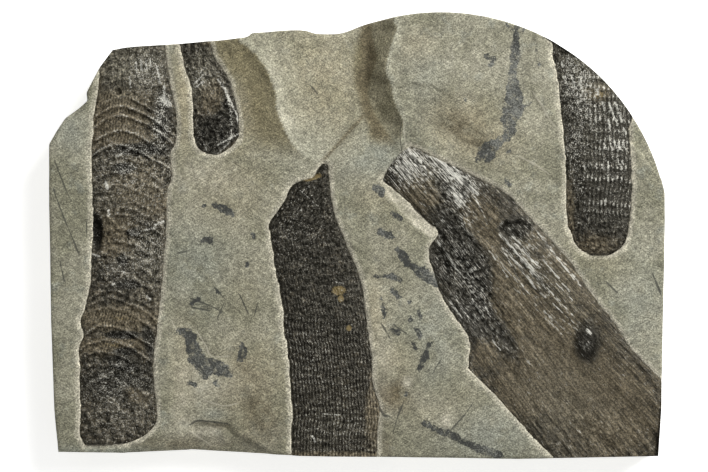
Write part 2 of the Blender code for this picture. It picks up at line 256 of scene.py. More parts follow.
def smooth_line(points, step=1.0):
    """A Catmull-Rom curve through the points, with a point about every step."""
    p = np.asarray(points, float)
    p = np.vstack([2 * p[0] - p[1], p, 2 * p[-1] - p[-2]])
    curve = []
    for a, b, c, d in zip(p, p[1:], p[2:], p[3:]):
        count = max(1, round(np.hypot(*(c - b)) / step))
        t = np.arange(count)[:, None] / count
        curve.append(0.5 * (2 * b + (c - a) * t + (2 * a - 5 * b + 4 * c - d) * t ** 2
                            + (3 * b - a - 3 * c + d) * t ** 3))
    return np.vstack([*curve, p[-2:-1]])


def straight_line(points, step=1.0):
    """Straight runs through the points, with a point about every step."""
    p = np.asarray(points, float)
    at = np.concatenate([[0], np.cumsum(np.hypot(*np.diff(p, axis=0).T))])
    shares = np.linspace(0, at[-1], round(at[-1] / step) + 1)
    return np.stack([np.interp(shares, at, p[:, axis]) for axis in (0, 1)], axis=1)


ROUND_SPLIT = 45
side_bottom = straight_line(SAWN_BOTTOM)
side_right = np.vstack([straight_line(SAWN_RIGHT)[:-1], round_corner(ROUND_FIRST, ROUND_SPLIT)])
side_top = np.vstack([smooth_line(BROKEN_TOP[::-1])[:-1], round_corner(ROUND_SPLIT, ROUND_LAST)[::-1]])
side_left = np.vstack([straight_line(SAWN_LEFT[::-1])[:-1], straight_line(BROKEN_LEFT[::-1])])
outline = np.vstack([side_bottom[:-1], side_right[:-1], side_top[::-1][:-1], side_left[::-1][:-1]])
print("points round the plate:", len(outline))

# %% Edges of the stems
# Each stem has a left and a right edge, from its top end to its bottom end.
STEM_EDGES = {
    "stem_left": (
        [(-126.5, 104), (-128, 75.5), (-130.5, 59.5), (-130.5, 51), (-131.5, 42.5), (-131, 9.5),
         (-131.5, -12), (-132, -23.5), (-135, -36.5), (-137, -42.5), (-135.5, -48.5), (-137.5, -57),
         (-137, -73.5), (-137, -89.5), (-137.5, -97), (-135, -103.5)],
        [(-96, 104), (-94, 83.5), (-92, 71.5), (-90, 62.5), (-89.5, 54), (-90, 46), (-92.5, 41),
         (-92, 28.5), (-94, 22.5), (-94.5, 7.5), (-97, -25), (-99.5, -48), (-101, -67),
         (-99.5, -83.5), (-100, -93), (-105.5, -99), (-113.5, -102.5)],
    ),
    "stem_small": (
        [(-88.5, 104), (-87, 91), (-85.5, 84), (-82.5, 75.5), (-81.5, 67.5), (-81, 52), (-79, 44.5),
         (-74.5, 41)],
        [(-74.5, 104), (-71, 89.5), (-67.5, 84), (-63.5, 77), (-61.5, 70), (-59, 61), (-58.5, 52.5),
         (-59, 48.5), (-62.5, 44), (-68, 40.5)],
    ),
    "stem_middle": (
        [(-17, 36), (-19.5, 33), (-22, 29), (-31.5, 25.5), (-36.5, 16.5), (-43, 7), (-43, 1),
         (-40.5, -17), (-37, -33.5), (-36, -47), (-34, -59.5), (-32.5, -79), (-32, -90),
         (-32.5, -104), (-32.5, -120)],
        [(-14.5, 35), (-14, 30), (-13.5, 24), (-12, 14.5), (-9, 4.5), (-5, -5), (2, -23),
         (4.5, -41.5), (7, -59.5), (7.5, -71), (9, -79), (11, -85), (10, -97), (10, -120)],
    ),
    "stem_diagonal": (
        [(13, 27.5), (26, 16), (36.5, 6), (40, 1), (36, -5), (35.5, -10), (38.5, -19.5), (43, -31.5),
         (52.5, -45.5), (56, -52.5), (55.5, -63.5), (57, -67), (72, -82.5), (87, -99), (130, -142)],
        [(26.5, 44.5), (45.5, 35.5), (60, 28.5), (68.5, 24), (76.5, 18.5), (85, 9), (102.5, -9.5),
         (109.5, -19.5), (120, -34.5), (125.5, -41), (136.5, -57), (148.5, -69.5), (185, -107)],
    ),
    "stem_right": (
        [(95.5, 112), (97, 89), (98.5, 82.5), (101.5, 58), (103, 37.5), (104, 10), (105.5, 2),
         (109, -5), (115, -9)],
        [(140, 112), (140, 67.5), (135, 55), (135.5, 37.5), (136, 24.5), (135.5, 15), (134, 1.5),
         (131.5, -5), (126, -9)],
    ),
}
print("stems:", ", ".join(STEM_EDGES))

# %% Distances
# Almost every mark on the plate is drawn from a distance: to the edge of the plate, to a stem or to
# a film of carbon. A distance changes evenly from point to point, so a mesh with a point each
# millimetre still gives a crisp line where the material cuts it off.
TINY = 1e-12


def from_segment(x, y, ax, ay, bx, by):
    """Where points lie from the nearest place on a segment, and the share of its length there."""
    ux, uy = bx - ax, by - ay
    share = np.clip(((x - ax) * ux + (y - ay) * uy) / (ux * ux + uy * uy + TINY), 0, 1)
    return x - ax - share * ux, y - ay - share * uy, share


def near(line, x, y, reach):
    """Signed distance from points to an open line, positive on its right hand, within reach."""
    distance = np.full(x.shape, float(reach))
    side = np.ones(x.shape)
    low, high = line.min(axis=0) - reach, line.max(axis=0) + reach
    close = np.flatnonzero((x > low[0]) & (x < high[0]) & (y > low[1]) & (y < high[1]))
    px, py = x[close], y[close]
    best, sign = distance[close], side[close]
    for (ax, ay), (bx, by) in zip(line, line[1:]):
        dx, dy, _ = from_segment(px, py, ax, ay, bx, by)
        here = np.hypot(dx, dy)
        nearer = here < best
        best[nearer] = here[nearer]
        sign[nearer] = np.where((by - ay) * dx - (bx - ax) * dy > 0, 1.0, -1.0)[nearer]
    distance[close], side[close] = best, sign
    return distance * side


def inside(ring, x, y):
    """Whether points are inside a closed line."""
    odd = np.zeros(x.shape, bool)
    for (ax, ay), (bx, by) in zip(ring, np.roll(ring, -1, axis=0)):
        if ay != by:
            crossing = (ay > y) != (by > y)
            odd ^= crossing & (x < (bx - ax) * (y - ay) / (by - ay) + ax)
    return odd


def outside_distance(ring, x, y, reach):
    """Distance to a closed line: positive outside it, negative inside it."""
    away = np.abs(near(ring, x, y, reach))
    return np.where(inside(ring[:-1], x, y), -away, away)


def strokes(marks, x, y, reach):
    """Distance to the nearest of some brush strokes, each a line of (x, y, half width) points."""
    nearest = np.full(x.shape, float(reach))
    for mark in marks:
        line = np.asarray(mark, float)
        line = np.vstack([line, line[-1:]]) if len(line) == 1 else line
        for (ax, ay, ar), (bx, by, br) in zip(line, line[1:]):
            dx, dy, share = from_segment(x, y, ax, ay, bx, by)
            nearest = np.minimum(nearest, np.hypot(dx, dy) - (ar + (br - ar) * share))
    return nearest


def soft_step(value, low, high):
    share = np.clip((value - low) / (high - low), 0, 1)
    return share * share * (3 - 2 * share)


def oval(x, y, middle_x, middle_y, half_x, half_y, turn):
    """Distance from the middle of a turned oval, which is 1 on its edge."""
    angle = math.radians(turn)
    dx, dy = x - middle_x, y - middle_y
    across = (dx * math.cos(angle) + dy * math.sin(angle)) / half_x
    up = (dy * math.cos(angle) - dx * math.sin(angle)) / half_y
    return np.hypot(across, up)


def lumps(x, y, size, seed, octaves=1):
    """Smooth noise from -1 to 1, with lumps about size mm across."""
    values = [noise.fractal(Vector((a / size, b / size, seed)), 1.0, 2.0, octaves)
              for a, b in zip(x.ravel(), y.ravel())]
    return np.asarray(values).reshape(x.shape)


# The edges of the coal are ragged, so each smooth edge is shaken a little to either side.
EDGE_SHAKE, SMALL_SHAKE, LARGE_SHAKE = 0.42, 3.1, 9.0


def ragged(edge, seed):
    curve = smooth_line(edge, 0.8)
    shaken = EDGE_SHAKE * (lumps(*curve.T, SMALL_SHAKE, seed, 2)
                           + 0.6 * lumps(*curve.T, LARGE_SHAKE, seed + 4))
    curve[:, 0] += shaken
    curve[:, 1] += 0.5 * shaken
    return curve


stem_edges = {name: (ragged(left, 1.5), ragged(right, 6.5))
              for name, (left, right) in STEM_EDGES.items()}
stem_outlines = {name: np.vstack([left, right[::-1], left[:1]])
                 for name, (left, right) in stem_edges.items()}

# %% [markdown]
# ## The relief of the bedding plane
#
# Shale splits along its beds, so most of the face is one gently waving plane. At the top right a
# block stands a few millimetres higher, and between it and a crest at the left a scoop has broken
# out of the top edge. The scoop is the highest of three faces at each point: its floor, the
# facet below it and the wall of the ledge. Where they meet, the creases come by themselves.

# %% Relief
BED_HEIGHT = 25.0
# Swells of the bed: height and size in mm, and the seed
SWELLS = [(0.7, 46, 3.1), (0.35, 15, 8.7)]
FOOT_DROP, FOOT_FROM, FOOT_TO = 1.2, 88, 112
BLOCK_STEP = 2.6
BLOCK_BLEND = 16.0
LEDGE_CREST = [(22, 125), (18.5, 107), (20, 103), (16.5, 92.5), (14.5, 82), (17, 75), (18.5, 67.5),
               (21, 61.5), (23, 56), (22, 47), (22, 42)]
BLOCK_LINE = [(22, 42), (33, 26), (60, 8), (85, -18), (112, -52), (150, -92)]
WALL_FOLD = [(7.5, 125), (7, 104.5), (8, 96.5), (9.5, 88), (7, 79.5), (5.5, 70), (9, 60), (15, 51),
             (22, 42)]
WALL_SLOPE, WALL_STEEP = 0.76, 1.25
FOLD_DEPTH, FOLD_WIDTH, WALL_FOOT = 0.5, 0.9, 2.0
CREASE = [(3, 59.5), (-2.5, 53.5), (-9.5, 45.5), (-17, 37)]
CREASE_DEPTH, CREASE_WIDTH = 0.35, 0.9
CREST = [(-60, 108), (-58, 96.5), (-55.5, 94.5), (-51.5, 91), (-46, 84.5), (-43, 78), (-40.5, 71),
         (-39.5, 62.5), (-36.5, 54.5), (-32.5, 46), (-27.5, 40.5), (-22, 37), (-18, 36)]
CREST_RISE, CREST_FLANK = 2.4, 8.0
HOLLOW_DEPTH, HOLLOW_REACH, HOLLOW_SLOPE = 3.6, 11.0, 0.11
FACET_CORNER, FACET_ALONG = (-15, 37), (0.64, 0.77)
FACET_START, FACET_DIP, FACET_CLIMB = 0.3, 0.16, 0.15
HOLLOW_FROM, HOLLOW_FULL = 34, 60
WALL_WANDER, FACET_WANDER, FLOOR_FILLET = 0.9, 0.2, 0.3
# Shallow dips: middle, half sizes, turn in degrees and depth
DIPS = [
    (50, 50, 24, 9, -32, 1.7), (-53, 89, 8, 7, 20, 1.4), (-146, 62, 14, 11, 40, 2),
    (-54, -88, 7, 17, 25, 1), (150, -60, 9, 50, 0, 0.8), (-64, 90, 2, 6, 20, 0.8),
    (22, -77, 10, 7, 0, 0.6), (-5, 20, 9, 20, 15, 0.5), (-92, -35, 5, 16, 0, 0.6),
]
# Small scarps, each lower by a step on the right hand of its line, and how far the drop lasts
SCARPS = [
    ([(17, 75.5), (21.5, 74), (27, 76), (31, 75), (36, 75.5), (41, 72.5)], 1.0, 8),
    ([(29, 47), (34.5, 50.5), (34, 54.5), (41, 56), (47, 54.5), (50.5, 49.5), (61, 45.5)], 1.1, 9),
    ([(87, 71), (91, 65), (95, 58), (99, 53), (100.5, 41)], 0.5, 8),
    ([(81, 39), (87, 36), (94.5, 31)], 0.4, 8),
    ([(-63, 81), (-57, 83), (-49, 82.5), (-44, 78.5)], 0.7, 9),
    ([(-59, 48), (-51, 36), (-46.5, 25)], -0.5, 9),
    ([(-79.5, -45), (-75, -52), (-71, -58), (-64, -59.5)], 0.5, 8),
    ([(-76, -81), (-66, -84), (-60, -83)], 0.4, 6),
    ([(-82.5, -99), (-82, -93), (-79, -91.5), (-72, -92), (-64.5, -93), (-60, -97), (-50, -102.5),
      (-38, -111)], 1.7, 60),
    ([(8, -66), (20, -71), (31, -70), (38, -64)], 0.35, 8),
    ([(-47, 25), (-55, 5), (-58, -12)], 0.3, 10),
]
FLAKE_HEIGHT, FLAKE_SIZE, FLAKE_COUNT = 0.2, 26, 3.0
ledge_line = smooth_line(LEDGE_CREST)
block_line = np.vstack([ledge_line[:-1], smooth_line(BLOCK_LINE)])
crest_line = smooth_line(CREST)
fold_line = smooth_line(WALL_FOLD)
crease_line = smooth_line(CREASE)


def soft_max(first, second, width):
    """The higher of two surfaces, with a fillet where they meet."""
    return 0.5 * (first + second + np.sqrt((first - second) ** 2 + width ** 2))


def flakes(x, y):
    """Thin beds that end in little steps, from noise that is cut into even layers."""
    layers = FLAKE_COUNT * lumps(x, y, FLAKE_SIZE, 12.3, 3)
    return FLAKE_HEIGHT * (np.floor(layers) + soft_step(layers - np.floor(layers), 0.4, 0.6))


def bed_height(x, y):
    """Height of the plate's face in mm, before the trenches round the stems."""
    bed = BED_HEIGHT + sum(rise * lumps(x, y, size, seed) for rise, size, seed in SWELLS)
    bed += flakes(x, y) - FOOT_DROP * soft_step(-y, FOOT_FROM, FOOT_TO)
    blend = 0.3 + BLOCK_BLEND * soft_step(-y, -58, -40)
    on_block = soft_step(-near(block_line, x, y, 80), -blend, blend)
    level = bed + BLOCK_STEP * on_block

    past_crest = -near(crest_line, x, y, 90)
    rise = CREST_RISE * soft_step(y, HOLLOW_FROM, HOLLOW_FULL)
    flank = bed + rise * np.exp(np.minimum(past_crest, 0) / CREST_FLANK)
    gone = np.maximum(past_crest, 0)
    scoop = bed + rise - HOLLOW_DEPTH * (1 - np.exp(-gone / HOLLOW_REACH)) - HOLLOW_SLOPE * gone
    dx, dy = x - FACET_CORNER[0], y - FACET_CORNER[1]
    down = dx * FACET_ALONG[0] + dy * FACET_ALONG[1]
    across = dx * FACET_ALONG[1] - dy * FACET_ALONG[0]
    facet = BED_HEIGHT + FACET_START + FACET_CLIMB * across - FACET_DIP * down
    past_ledge = near(ledge_line, x, y, 200)
    run = past_ledge + WALL_WANDER * lumps(x, y, 8, 2.2, 3) * soft_step(past_ledge, 0, 4)
    past_fold = near(fold_line, x, y, 200)
    wall = bed + BLOCK_STEP - WALL_SLOPE * run - (WALL_STEEP - WALL_SLOPE) * np.maximum(0, past_fold)
    wall -= FOLD_DEPTH * np.exp(-(past_fold / FOLD_WIDTH) ** 2) * (past_ledge > 1)
    floor_level = soft_max(scoop, facet + FACET_WANDER * lumps(x, y, 9, 1.1, 2), FLOOR_FILLET)
    floor_level -= CREASE_DEPTH * np.exp(-(near(crease_line, x, y, 9) / CREASE_WIDTH) ** 2)
    broken = soft_max(floor_level, wall, WALL_FOOT)
    west = (past_ledge > 0) & (y > HOLLOW_FROM)
    level = np.where(west, np.where(past_crest > 0, np.minimum(bed + rise, broken), flank), level)
    for *place, depth in DIPS:
        level -= depth * soft_step(1 - oval(x, y, *place), 0.0, 0.8)
    for line, step, reach in SCARPS:
        below = near(smooth_line(line), x, y, 3 * reach)
        drop = soft_step(below, 0, 0.5 + 0.8 * step) * np.exp(-np.maximum(below, 0) / reach)
        level -= step * drop * (np.abs(below) < 2.9 * reach)
    return level


# %% [markdown]
# ## The slab
#
# The real slab was split from its bed, sawn along three sides and trimmed with a hammer at the top.
# A grid is the right start for a face like this: it is stretched over the outline, its points are
# lifted to the relief, and its border is extruded down ring by ring to make the sides. The trench
# that a preparator cut round each stem is part of the relief, so it catches the light.

# %% Slab mesh
GRID_ACROSS, GRID_UP = 314, 230
WALL_RINGS = 18


def at_share(line, share):
    """Points at shares of a line's length."""
    lengths = np.concatenate([[0], np.cumsum(np.hypot(*np.diff(line, axis=0).T))])
    return np.stack([np.interp(share * lengths[-1], lengths, line[:, axis]) for axis in (0, 1)], -1)


def stretch_over(u, v):
    """Lays a unit square over the plate, its four sides on the plate's four sides."""
    low, high = at_share(side_bottom, u), at_share(side_top, u)
    west, east = at_share(side_left, v), at_share(side_right, v)
    u, v = u[:, None], v[:, None]
    corners = ((1 - u) * (1 - v) * side_bottom[0] + u * (1 - v) * side_bottom[-1]
               + (1 - u) * v * side_top[0] + u * v * side_top[-1])
    return (1 - v) * low + v * high + (1 - u) * west + u * east - corners


def grid_with_walls(across, up, rings):
    """A unit grid whose border is extruded down one unit per ring and closed at the end."""
    shape = bmesh.new()
    bmesh.ops.create_grid(shape, x_segments=across, y_segments=up, size=0.5)
    bmesh.ops.translate(shape, vec=(0.5, 0.5, 0), verts=shape.verts)
    border = [edge for edge in shape.edges if edge.is_boundary]
    for _ in range(rings):
        made = bmesh.ops.extrude_edge_only(shape, edges=border)["geom"]
        border = [part for part in made if isinstance(part, bmesh.types.BMEdge)]
        lowered = [part for part in made if isinstance(part, bmesh.types.BMVert)]
        bmesh.ops.translate(shape, vec=(0, 0, -1), verts=lowered)
    bmesh.ops.holes_fill(shape, edges=border, sides=0)
    bmesh.ops.recalc_face_normals(shape, faces=shape.faces)
    return shape


def read_points(obj):
    points = np.empty(len(obj.data.vertices) * 3)
    obj.data.vertices.foreach_get("co", points)
    return points.reshape(-1, 3)


def write_points(obj, x, y, z):
    obj.data.vertices.foreach_set("co", (np.stack([x, y, z], axis=1) * MM).ravel())
    obj.data.update()
    obj.data.shade_smooth()


def store(obj, name, values):
    """Keeps a number for each point of a mesh, for its material to read."""
    layer = obj.data.attributes.new(name, "FLOAT", "POINT")
    layer.data.foreach_set("value", np.asarray(values, np.float32))


slab = mesh_object("shale_plate", grid_with_walls(GRID_ACROSS, GRID_UP, WALL_RINGS))
unit = read_points(slab)
ring = np.round(-unit[:, 2]).astype(int)
on_top = ring == 0
flat_points = stretch_over(unit[:, 0], unit[:, 1])
x, y = flat_points[:, 0], flat_points[:, 1]
print("slab:", len(slab.data.vertices), "points")

# %% [markdown]
# The top takes the relief, a trench round each stem and a hollow under it. The arris is a little
# worn. The trench is uneven, because it was cut by hand.

# %% Slab relief
EDGE_REACH = 12.0
TRENCH_WIDTH, TRENCH_DEPTH = 2.7, 0.6
WEDGE = [[(14.5, 22.8, 1.0), (22, 15.8, 2.4), (30, 8.5, 3.4), (37, 2, 2.4)]]
WEDGE_DEPTH = 1.3
STEM_THICKNESS, STEM_DRAFT = 7.5, 2.5
UNEVEN_TRENCH = 0.45
BEVEL_LINE = [(-112, -103), (-101, -98.5), (-82, -98.5), (-62, -99), (-48, -104), (-40, -109)]
BEVEL_SLOPE, BEVEL_REACH, BEVEL_TOP, BEVEL_FROM, BEVEL_TO = 0.3, 14, -96, -114, -38
ARRIS_WIDTH, ARRIS_DROP = 1.4, 0.6
GRIT_HEIGHT, GRIT_SIZE = 0.2, 3.6

closed_outline = np.vstack([outline, outline[:1]])
from_edge = np.abs(near(closed_outline, x, y, EDGE_REACH))
to_stem = np.min([outside_distance(line, x, y, EDGE_REACH)
                  for line in stem_outlines.values()], axis=0)

top = bed_height(x, y)
uneven = 1 + UNEVEN_TRENCH * lumps(x, y, 11, 10.2, 2)
wedge = soft_step(-strokes(WEDGE, x, y, 4.0), -0.7, 0.5)
trench = TRENCH_DEPTH * np.clip(1 - np.maximum(to_stem, 0) / (TRENCH_WIDTH * uneven), 0, 1)
trench = np.maximum(trench, WEDGE_DEPTH * wedge)
under_stem = np.clip(-to_stem / STEM_DRAFT, 0, 1)
height = top - trench - (STEM_THICKNESS - TRENCH_DEPTH) * under_stem

bevel = np.maximum(near(smooth_line(BEVEL_LINE), x, y, BEVEL_REACH), 0)
bevel *= (y < BEVEL_TOP) & (x > BEVEL_FROM) & (x < BEVEL_TO)
height -= BEVEL_SLOPE * np.where(bevel < BEVEL_REACH - 0.1, bevel, 0)
worn = np.clip(1 - from_edge / ARRIS_WIDTH, 0, 1)
height -= ARRIS_DROP * (1 + lumps(x, y, 6, 4.4, 2)) * worn ** 2
height += GRIT_HEIGHT * lumps(x, y, GRIT_SIZE, 7.7, 2) * (to_stem > 0)
print("relief in mm:", round(height[on_top].min(), 1), "to", round(height[on_top].max(), 1))

# %% Slab sides
# The sawn sides are nearly flat. The broken ones step back where the beds are weak.
SIDE_GRAIN = 0.35
BROKEN_ABOVE, ROUND_ABOVE, ROUND_FROM, ROUND_BROKEN = 44, 20, 20, 0.3
SETBACK, STRATA_DEPTH, ROUGH_DEPTH, BASE_LEAN = 0.9, 1.3, 0.8, 2.4
# The rings over which the top's look and outline pass into the side's
BLEND_RINGS = 3
chord = np.roll(outline, -2, axis=0) - np.roll(outline, 2, axis=0)
outward = np.stack([chord[:, 1], -chord[:, 0]], axis=1) / np.hypot(*chord.T)[:, None]
walls = np.flatnonzero(ring > 0)
nearest = np.array([np.argmin((outline[:, 0] - a) ** 2 + (outline[:, 1] - b) ** 2)
                    for a, b in zip(x[walls], y[walls])])
share = 1 - ring[walls] / WALL_RINGS
wall_z = height[walls] * share
broken = np.where((y[walls] > BROKEN_ABOVE) & (x[walls] < ROUND_FROM), 1.0, 0.0)
broken = np.where((x[walls] >= ROUND_FROM) & (y[walls] > ROUND_ABOVE), ROUND_BROKEN, broken)
around = x[walls] + y[walls] * 1.7
strata = lumps(around * 0.08, wall_z, 2.1, 9.1, 3)
rough = lumps(around, wall_z, 5.0, 6.3, 3)
lean = BASE_LEAN * (1 - share) ** 2
setback = broken * (SETBACK + STRATA_DEPTH * strata + ROUGH_DEPTH * rough + lean)
setback += SIDE_GRAIN * (1 - broken) * (0.5 + 0.5 * rough)
setback = np.maximum(0, setback) * soft_step(ring[walls], 0, BLEND_RINGS)
x[walls] -= outward[nearest, 0] * setback
y[walls] -= outward[nearest, 1] * setback
z = np.where(on_top, height, 0.0)
z[walls] = wall_z
write_points(slab, x, y, z)

# %% [markdown]
# ## Marks on the shale
#
# Thin films of carbon, threads of root and rust stains lie on the beds. They have no thickness, so
# they are colour only. Each film is a brush stroke with a few points and a half width at each.

# %% Films, threads and stains
FILMS = [
    [(79.2, 105, 1.4), (78.7, 99, 1.6), (78.2, 92, 2.4), (77.2, 83.7, 2), (77, 77.2, 2.6),
    (77.2, 72.3, 3.8), (77.7, 67.3, 4.8), (77, 61.4, 5), (75, 57.4, 4.2), (75.5, 52.5, 3.2),
    (74, 49, 2.4), (69.3, 46, 2.4), (64.4, 44.6, 2.2)], [(72.8, 106, 0.1), (76.7, 102, 0.4),
    (82.2, 101.5, 0.9)], [(68, 45, 2.4), (62.4, 41.6, 3), (59.9, 37.6, 1.4)], [(68, 45, 2.4),
    (65.8, 41, 3), (64.8, 37.6, 1.5)], [(79, 64, 2), (84, 64.5, 1), (86.6, 66.5, 0.6)],
    [(88.5, 92, 0.2), (90.5, 84.5, 0.5)], [(74.8, 41.7, 1.1)], [(53.5, 67.3, 0.9)],
    [(-88.5, -47, 1.6), (-85, -47.5, 2.4), (-82, -50.5, 3), (-81.5, -55.5, 3.2), (-80, -60, 3.8),
    (-76, -63.5, 4.2), (-71, -65, 4), (-67, -66, 3.4), (-63, -68.5, 1.6)], [(-76, -67.5, 2.6),
    (-74.5, -71, 1)], [(-57.5, -54.5, 1.5), (-56.5, -57.5, 2), (-57.5, -61, 2)], [(-83, -73, 1),
    (-80.5, -73.5, 1.5)], [(-70.5, -72.5, 1), (-69, -74, 1)], [(-70.5, 15.5, 1), (-67, 13.5, 2),
    (-63, 12, 2), (-61.5, 10, 1)], [(-75.5, 15, 1)], [(-76, -2, 1.5), (-72.5, -2.5, 1.5)],
    [(-51.5, 1.5, 1), (-50.5, -1, 1)], [(-54, -13, 1), (-54.5, -15, 0.5)], [(-69, -27, 1),
    (-68, -28.5, 1)], [(64, 89, 1), (67.5, 87.5, 1.2), (66, 84.5, 0.8)], [(73.5, 28, 1),
    (75, 25.5, 1)], [(8.5, 24.5, 1.5), (11.5, 22.5, 2.5), (13, 20, 1)], [(17.5, 11, 1),
    (21.5, 8.5, 1.5)], [(11.5, 2, 1.5), (15.5, 0.5, 2), (18.5, -1, 1)], [(20, -7, 1.5),
    (23, -10, 2.5), (25, -13, 2)], [(27.5, -15, 2), (32, -18, 3), (37, -21.5, 3),
    (40.5, -24.5, 1.5)], [(9.5, -20, 1), (15.5, -20, 1.5), (21.5, -21.5, 1)], [(17.5, -27, 1.5),
    (20.5, -30, 1.5)], [(26, -32.5, 1)], [(16.5, -46.5, 1), (20.5, -47.5, 1.5)], [(30, -46.5, 1.5),
    (31.5, -50, 1)], [(28, -53, 1), (29, -56, 1)], [(36.5, -53, 1), (34.5, -57.5, 1.5),
    (32.5, -62.5, 2), (31, -66, 1)], [(33, -92.5, 1.2), (43.5, -97.5, 1.9), (52, -101.5, 1.8),
    (60.5, -105.5, 2), (71, -108.5, 2)], [(13, -34, 0.8), (13.5, -40, 1)], [(31, -37.5, 0.9),
    (31.5, -40.5, 1)], [(26.3, -41.3, 1.5)], [(24.3, -78.4, 1)], [(39.4, -43.4, 0.8)],
    [(11.5, -31, 0.8)], [(-82, -33.5, 0.6), (-78.5, -31.5, 1.2)], [(-80.5, -0.8, 0.7)],
    [(146.5, -10, 1)],
]
THREADS = [
    [(-149.5, 37), (-146, 27.5), (-142, 18)],
    [(-150, 22.5), (-147, 14), (-144, 6), (-140.5, -2), (-138, -8.5)], [(-134, 7.5), (-134, 1.5)],
    [(-147, -13), (-145, -22)], [(-82, -31), (-74, -34), (-66.5, -37.5)],
    [(-81, -35.5), (-73, -37)], [(57, -83.5), (52.5, -89.5), (46.5, -96)],
    [(146.5, -19.5), (150, -28)], [(123.5, -23), (128.5, -28)], [(-25, 87), (-24, 85.5)],
    [(-22.5, 74), (-20, 71)], [(22, 56), (21.3, 50), (22, 42.5)],
    [(22.5, -83.5), (20, -90), (18, -97)],
    [(6.5, -71), (8.5, -77), (10.5, -83), (13, -88.5), (15, -89)],
    [(-82, -93), (-79, -91.5), (-72, -92), (-64, -93)], [(-84, -58), (-79, -64), (-74, -69.5)],
    [(-89, -8.5), (-84, -7.5)], [(-70.5, -25.5), (-65.5, -31)], [(-66, -33.5), (-69, -40.5)],
    [(-58, -29.5), (-54, -38)], [(-49, -33), (-50.5, -38)], [(12.5, -44), (16, -50)],
    [(19, -44.5), (24, -48)], [(38, -67), (41, -62)],
]
BRIGHT_LINES = [
    [(87, 71), (91, 65), (95, 58), (99, 53)], [(81, 39), (87, 36), (94.5, 31)],
    [(-79.5, -47), (-75, -54), (-72, -59.5), (-64, -59.5)], [(-91.5, -42.5), (-89.5, -46.5)],
    [(-82, -97), (-78, -100), (-73, -103.5)], [(23, 57), (23.5, 50), (24, 46)],
    [(-76.5, -81), (-66, -84), (-60, -83)],
]
# Soft tints: middle, half sizes, turn in degrees and amount
TAN_ZONES = [
    (-18, 75, 24, 34, 0, 0.7), (-60, 62, 15, 26, -15, 0.8), (-62, 22, 22, 22, 0, 0.5),
    (-52, -70, 18, 22, 0, 0.6), (56, 54, 22, 14, -25, 0.8), (20, -62, 14, 10, 0, 0.6),
    (-56, -25, 14, 20, 0, 0.3), (120, -10, 20, 8, -30, 0.3), (18, -10, 12, 20, 0, 0.35),
    (9, -38, 5, 22, 0, 0.7), (40, -88, 22, 16, 0, 0.35), (-86, 70, 5, 30, 0, 0.9),
    (30, 95, 10, 8, 0, 0.5), (-86, -66, 6, 24, 0, 0.7), (8, 22, 14, 10, -30, 0.5),
]
BROWN_ZONES = [
    (-58, 88, 10, 7, 20, 0.6), (52, 52, 20, 8, -32, 0.7), (17, -78, 9, 8, 0, 1.4),
    (-57, -65, 5, 4, -30, 0.8), (-62, -80, 10, 8, 0, 0.5), (-54, -96, 7, 12, 25, 0.5),
    (14, -104, 4, 14, 0, 0.6), (-84, -103, 26, 4, 0, 0.7), (-10, -109, 30, 3, 0, 0.6),
    (-70, -94, 9, 2.5, 0, 0.8), (-53, 92, 7, 6, 20, 0.5), (-48, 70, 6, 22, -12, 0.6),
    (-66, 95, 3, 7, 15, 0.6), (-48, -88, 10, 20, 25, 0.75), (-52, -74, 9, 10, 0, 0.5),
]
PALE_ZONES = [
    (25, -72.5, 2.5, 2.5, 0, 0.9), (44, -92, 3, 3.5, 0, 0.8), (-75, -96.5, 7, 3, 0, 0.7),
    (-76, -72, 12, 10, 0, 0.45), (60, 90, 24, 10, 0, 0.3), (92, 70, 7, 36, 0, 0.2),
    (-86, -76, 4, 20, 0, 0.5), (-35, 55, 4, 16, 28, 0.5), (-41, 80, 3, 14, 20, 0.4),
    (-80, 28, 14, 10, 0, 0.35), (-72, -100, 8, 4, 0, 0.35), (12, -60, 5, 30, 0, 0.3),
    (-80, -66, 7, 4, -60, 0.4), (-86, -88, 5, 8, 0, 0.5),
]
GREY_ZONES = [
    (8, 38, 16, 12, 30, 0.9), (-25, 45, 14, 12, 0, 0.6), (-142, 52, 8, 10, 0, 0.6),
    (36, -55, 12, 26, 0, 0.6), (60, -98, 26, 12, 0, 0.8), (140, -30, 12, 22, 0, 0.5),
    (-78, -12, 18, 20, 0, 0.6), (35, 70, 10, 20, 0, 0.5), (-126, -108, 26, 4, 0, 0.9),
    (20, -12, 12, 12, 0, 0.4), (-70, -88, 5, 3, 0, 0.9), (-80, 90, 3, 8, 20, 0.4),
]


def zone_amount(zones, x, y, power=2):
    """How strongly ovals tint each point, from 0 to about 1. A higher power gives crisper rims."""
    amount = np.zeros(x.shape)
    for *place, strength in zones:
        amount = np.maximum(amount, strength * np.exp(-0.9 * oval(x, y, *place) ** power))
    return amount


def line_field(lines, x, y, reach):
    """Signed distance to the nearest of some fine lines."""
    signed = np.full(x.shape, float(reach))
    for line in lines:
        found = near(smooth_line(line), x, y, reach)
        signed = np.where(np.abs(found) < np.abs(signed), found, signed)
    return np.where(on_top, signed, reach)


# The flank beside the crest and the wall of the ledge are olive, with painted shade on top, darkest
# low on the wall. The hollow is paler fresh stone, with painted light on it that is brightest beside
# the crest, and a painted highlight runs along the top edge of the ledge.
LOOK_REACH = 40
LIT_LOBE = (-64, 38, 14, 13, -30)
LEDGE_FADE, CREASE_FADE = 1.8, 1.0
# Where each look starts to fade and where it ends, in mm from its line
FLANK_FADE, WALL_FADE, BAND_FADE, FRESH_AND_LIT_FADE, BRIGHT_FADE = (9, 21), (14, 19), (5, 9), (10, 18), (2, 7)
FRESH_AND_LIT_ABOVE, WALL_ABOVE, LOOKS_FULL = 33, (42, 44), 52


def faded(distance, fade):
    return 1 - soft_step(distance, *fade)


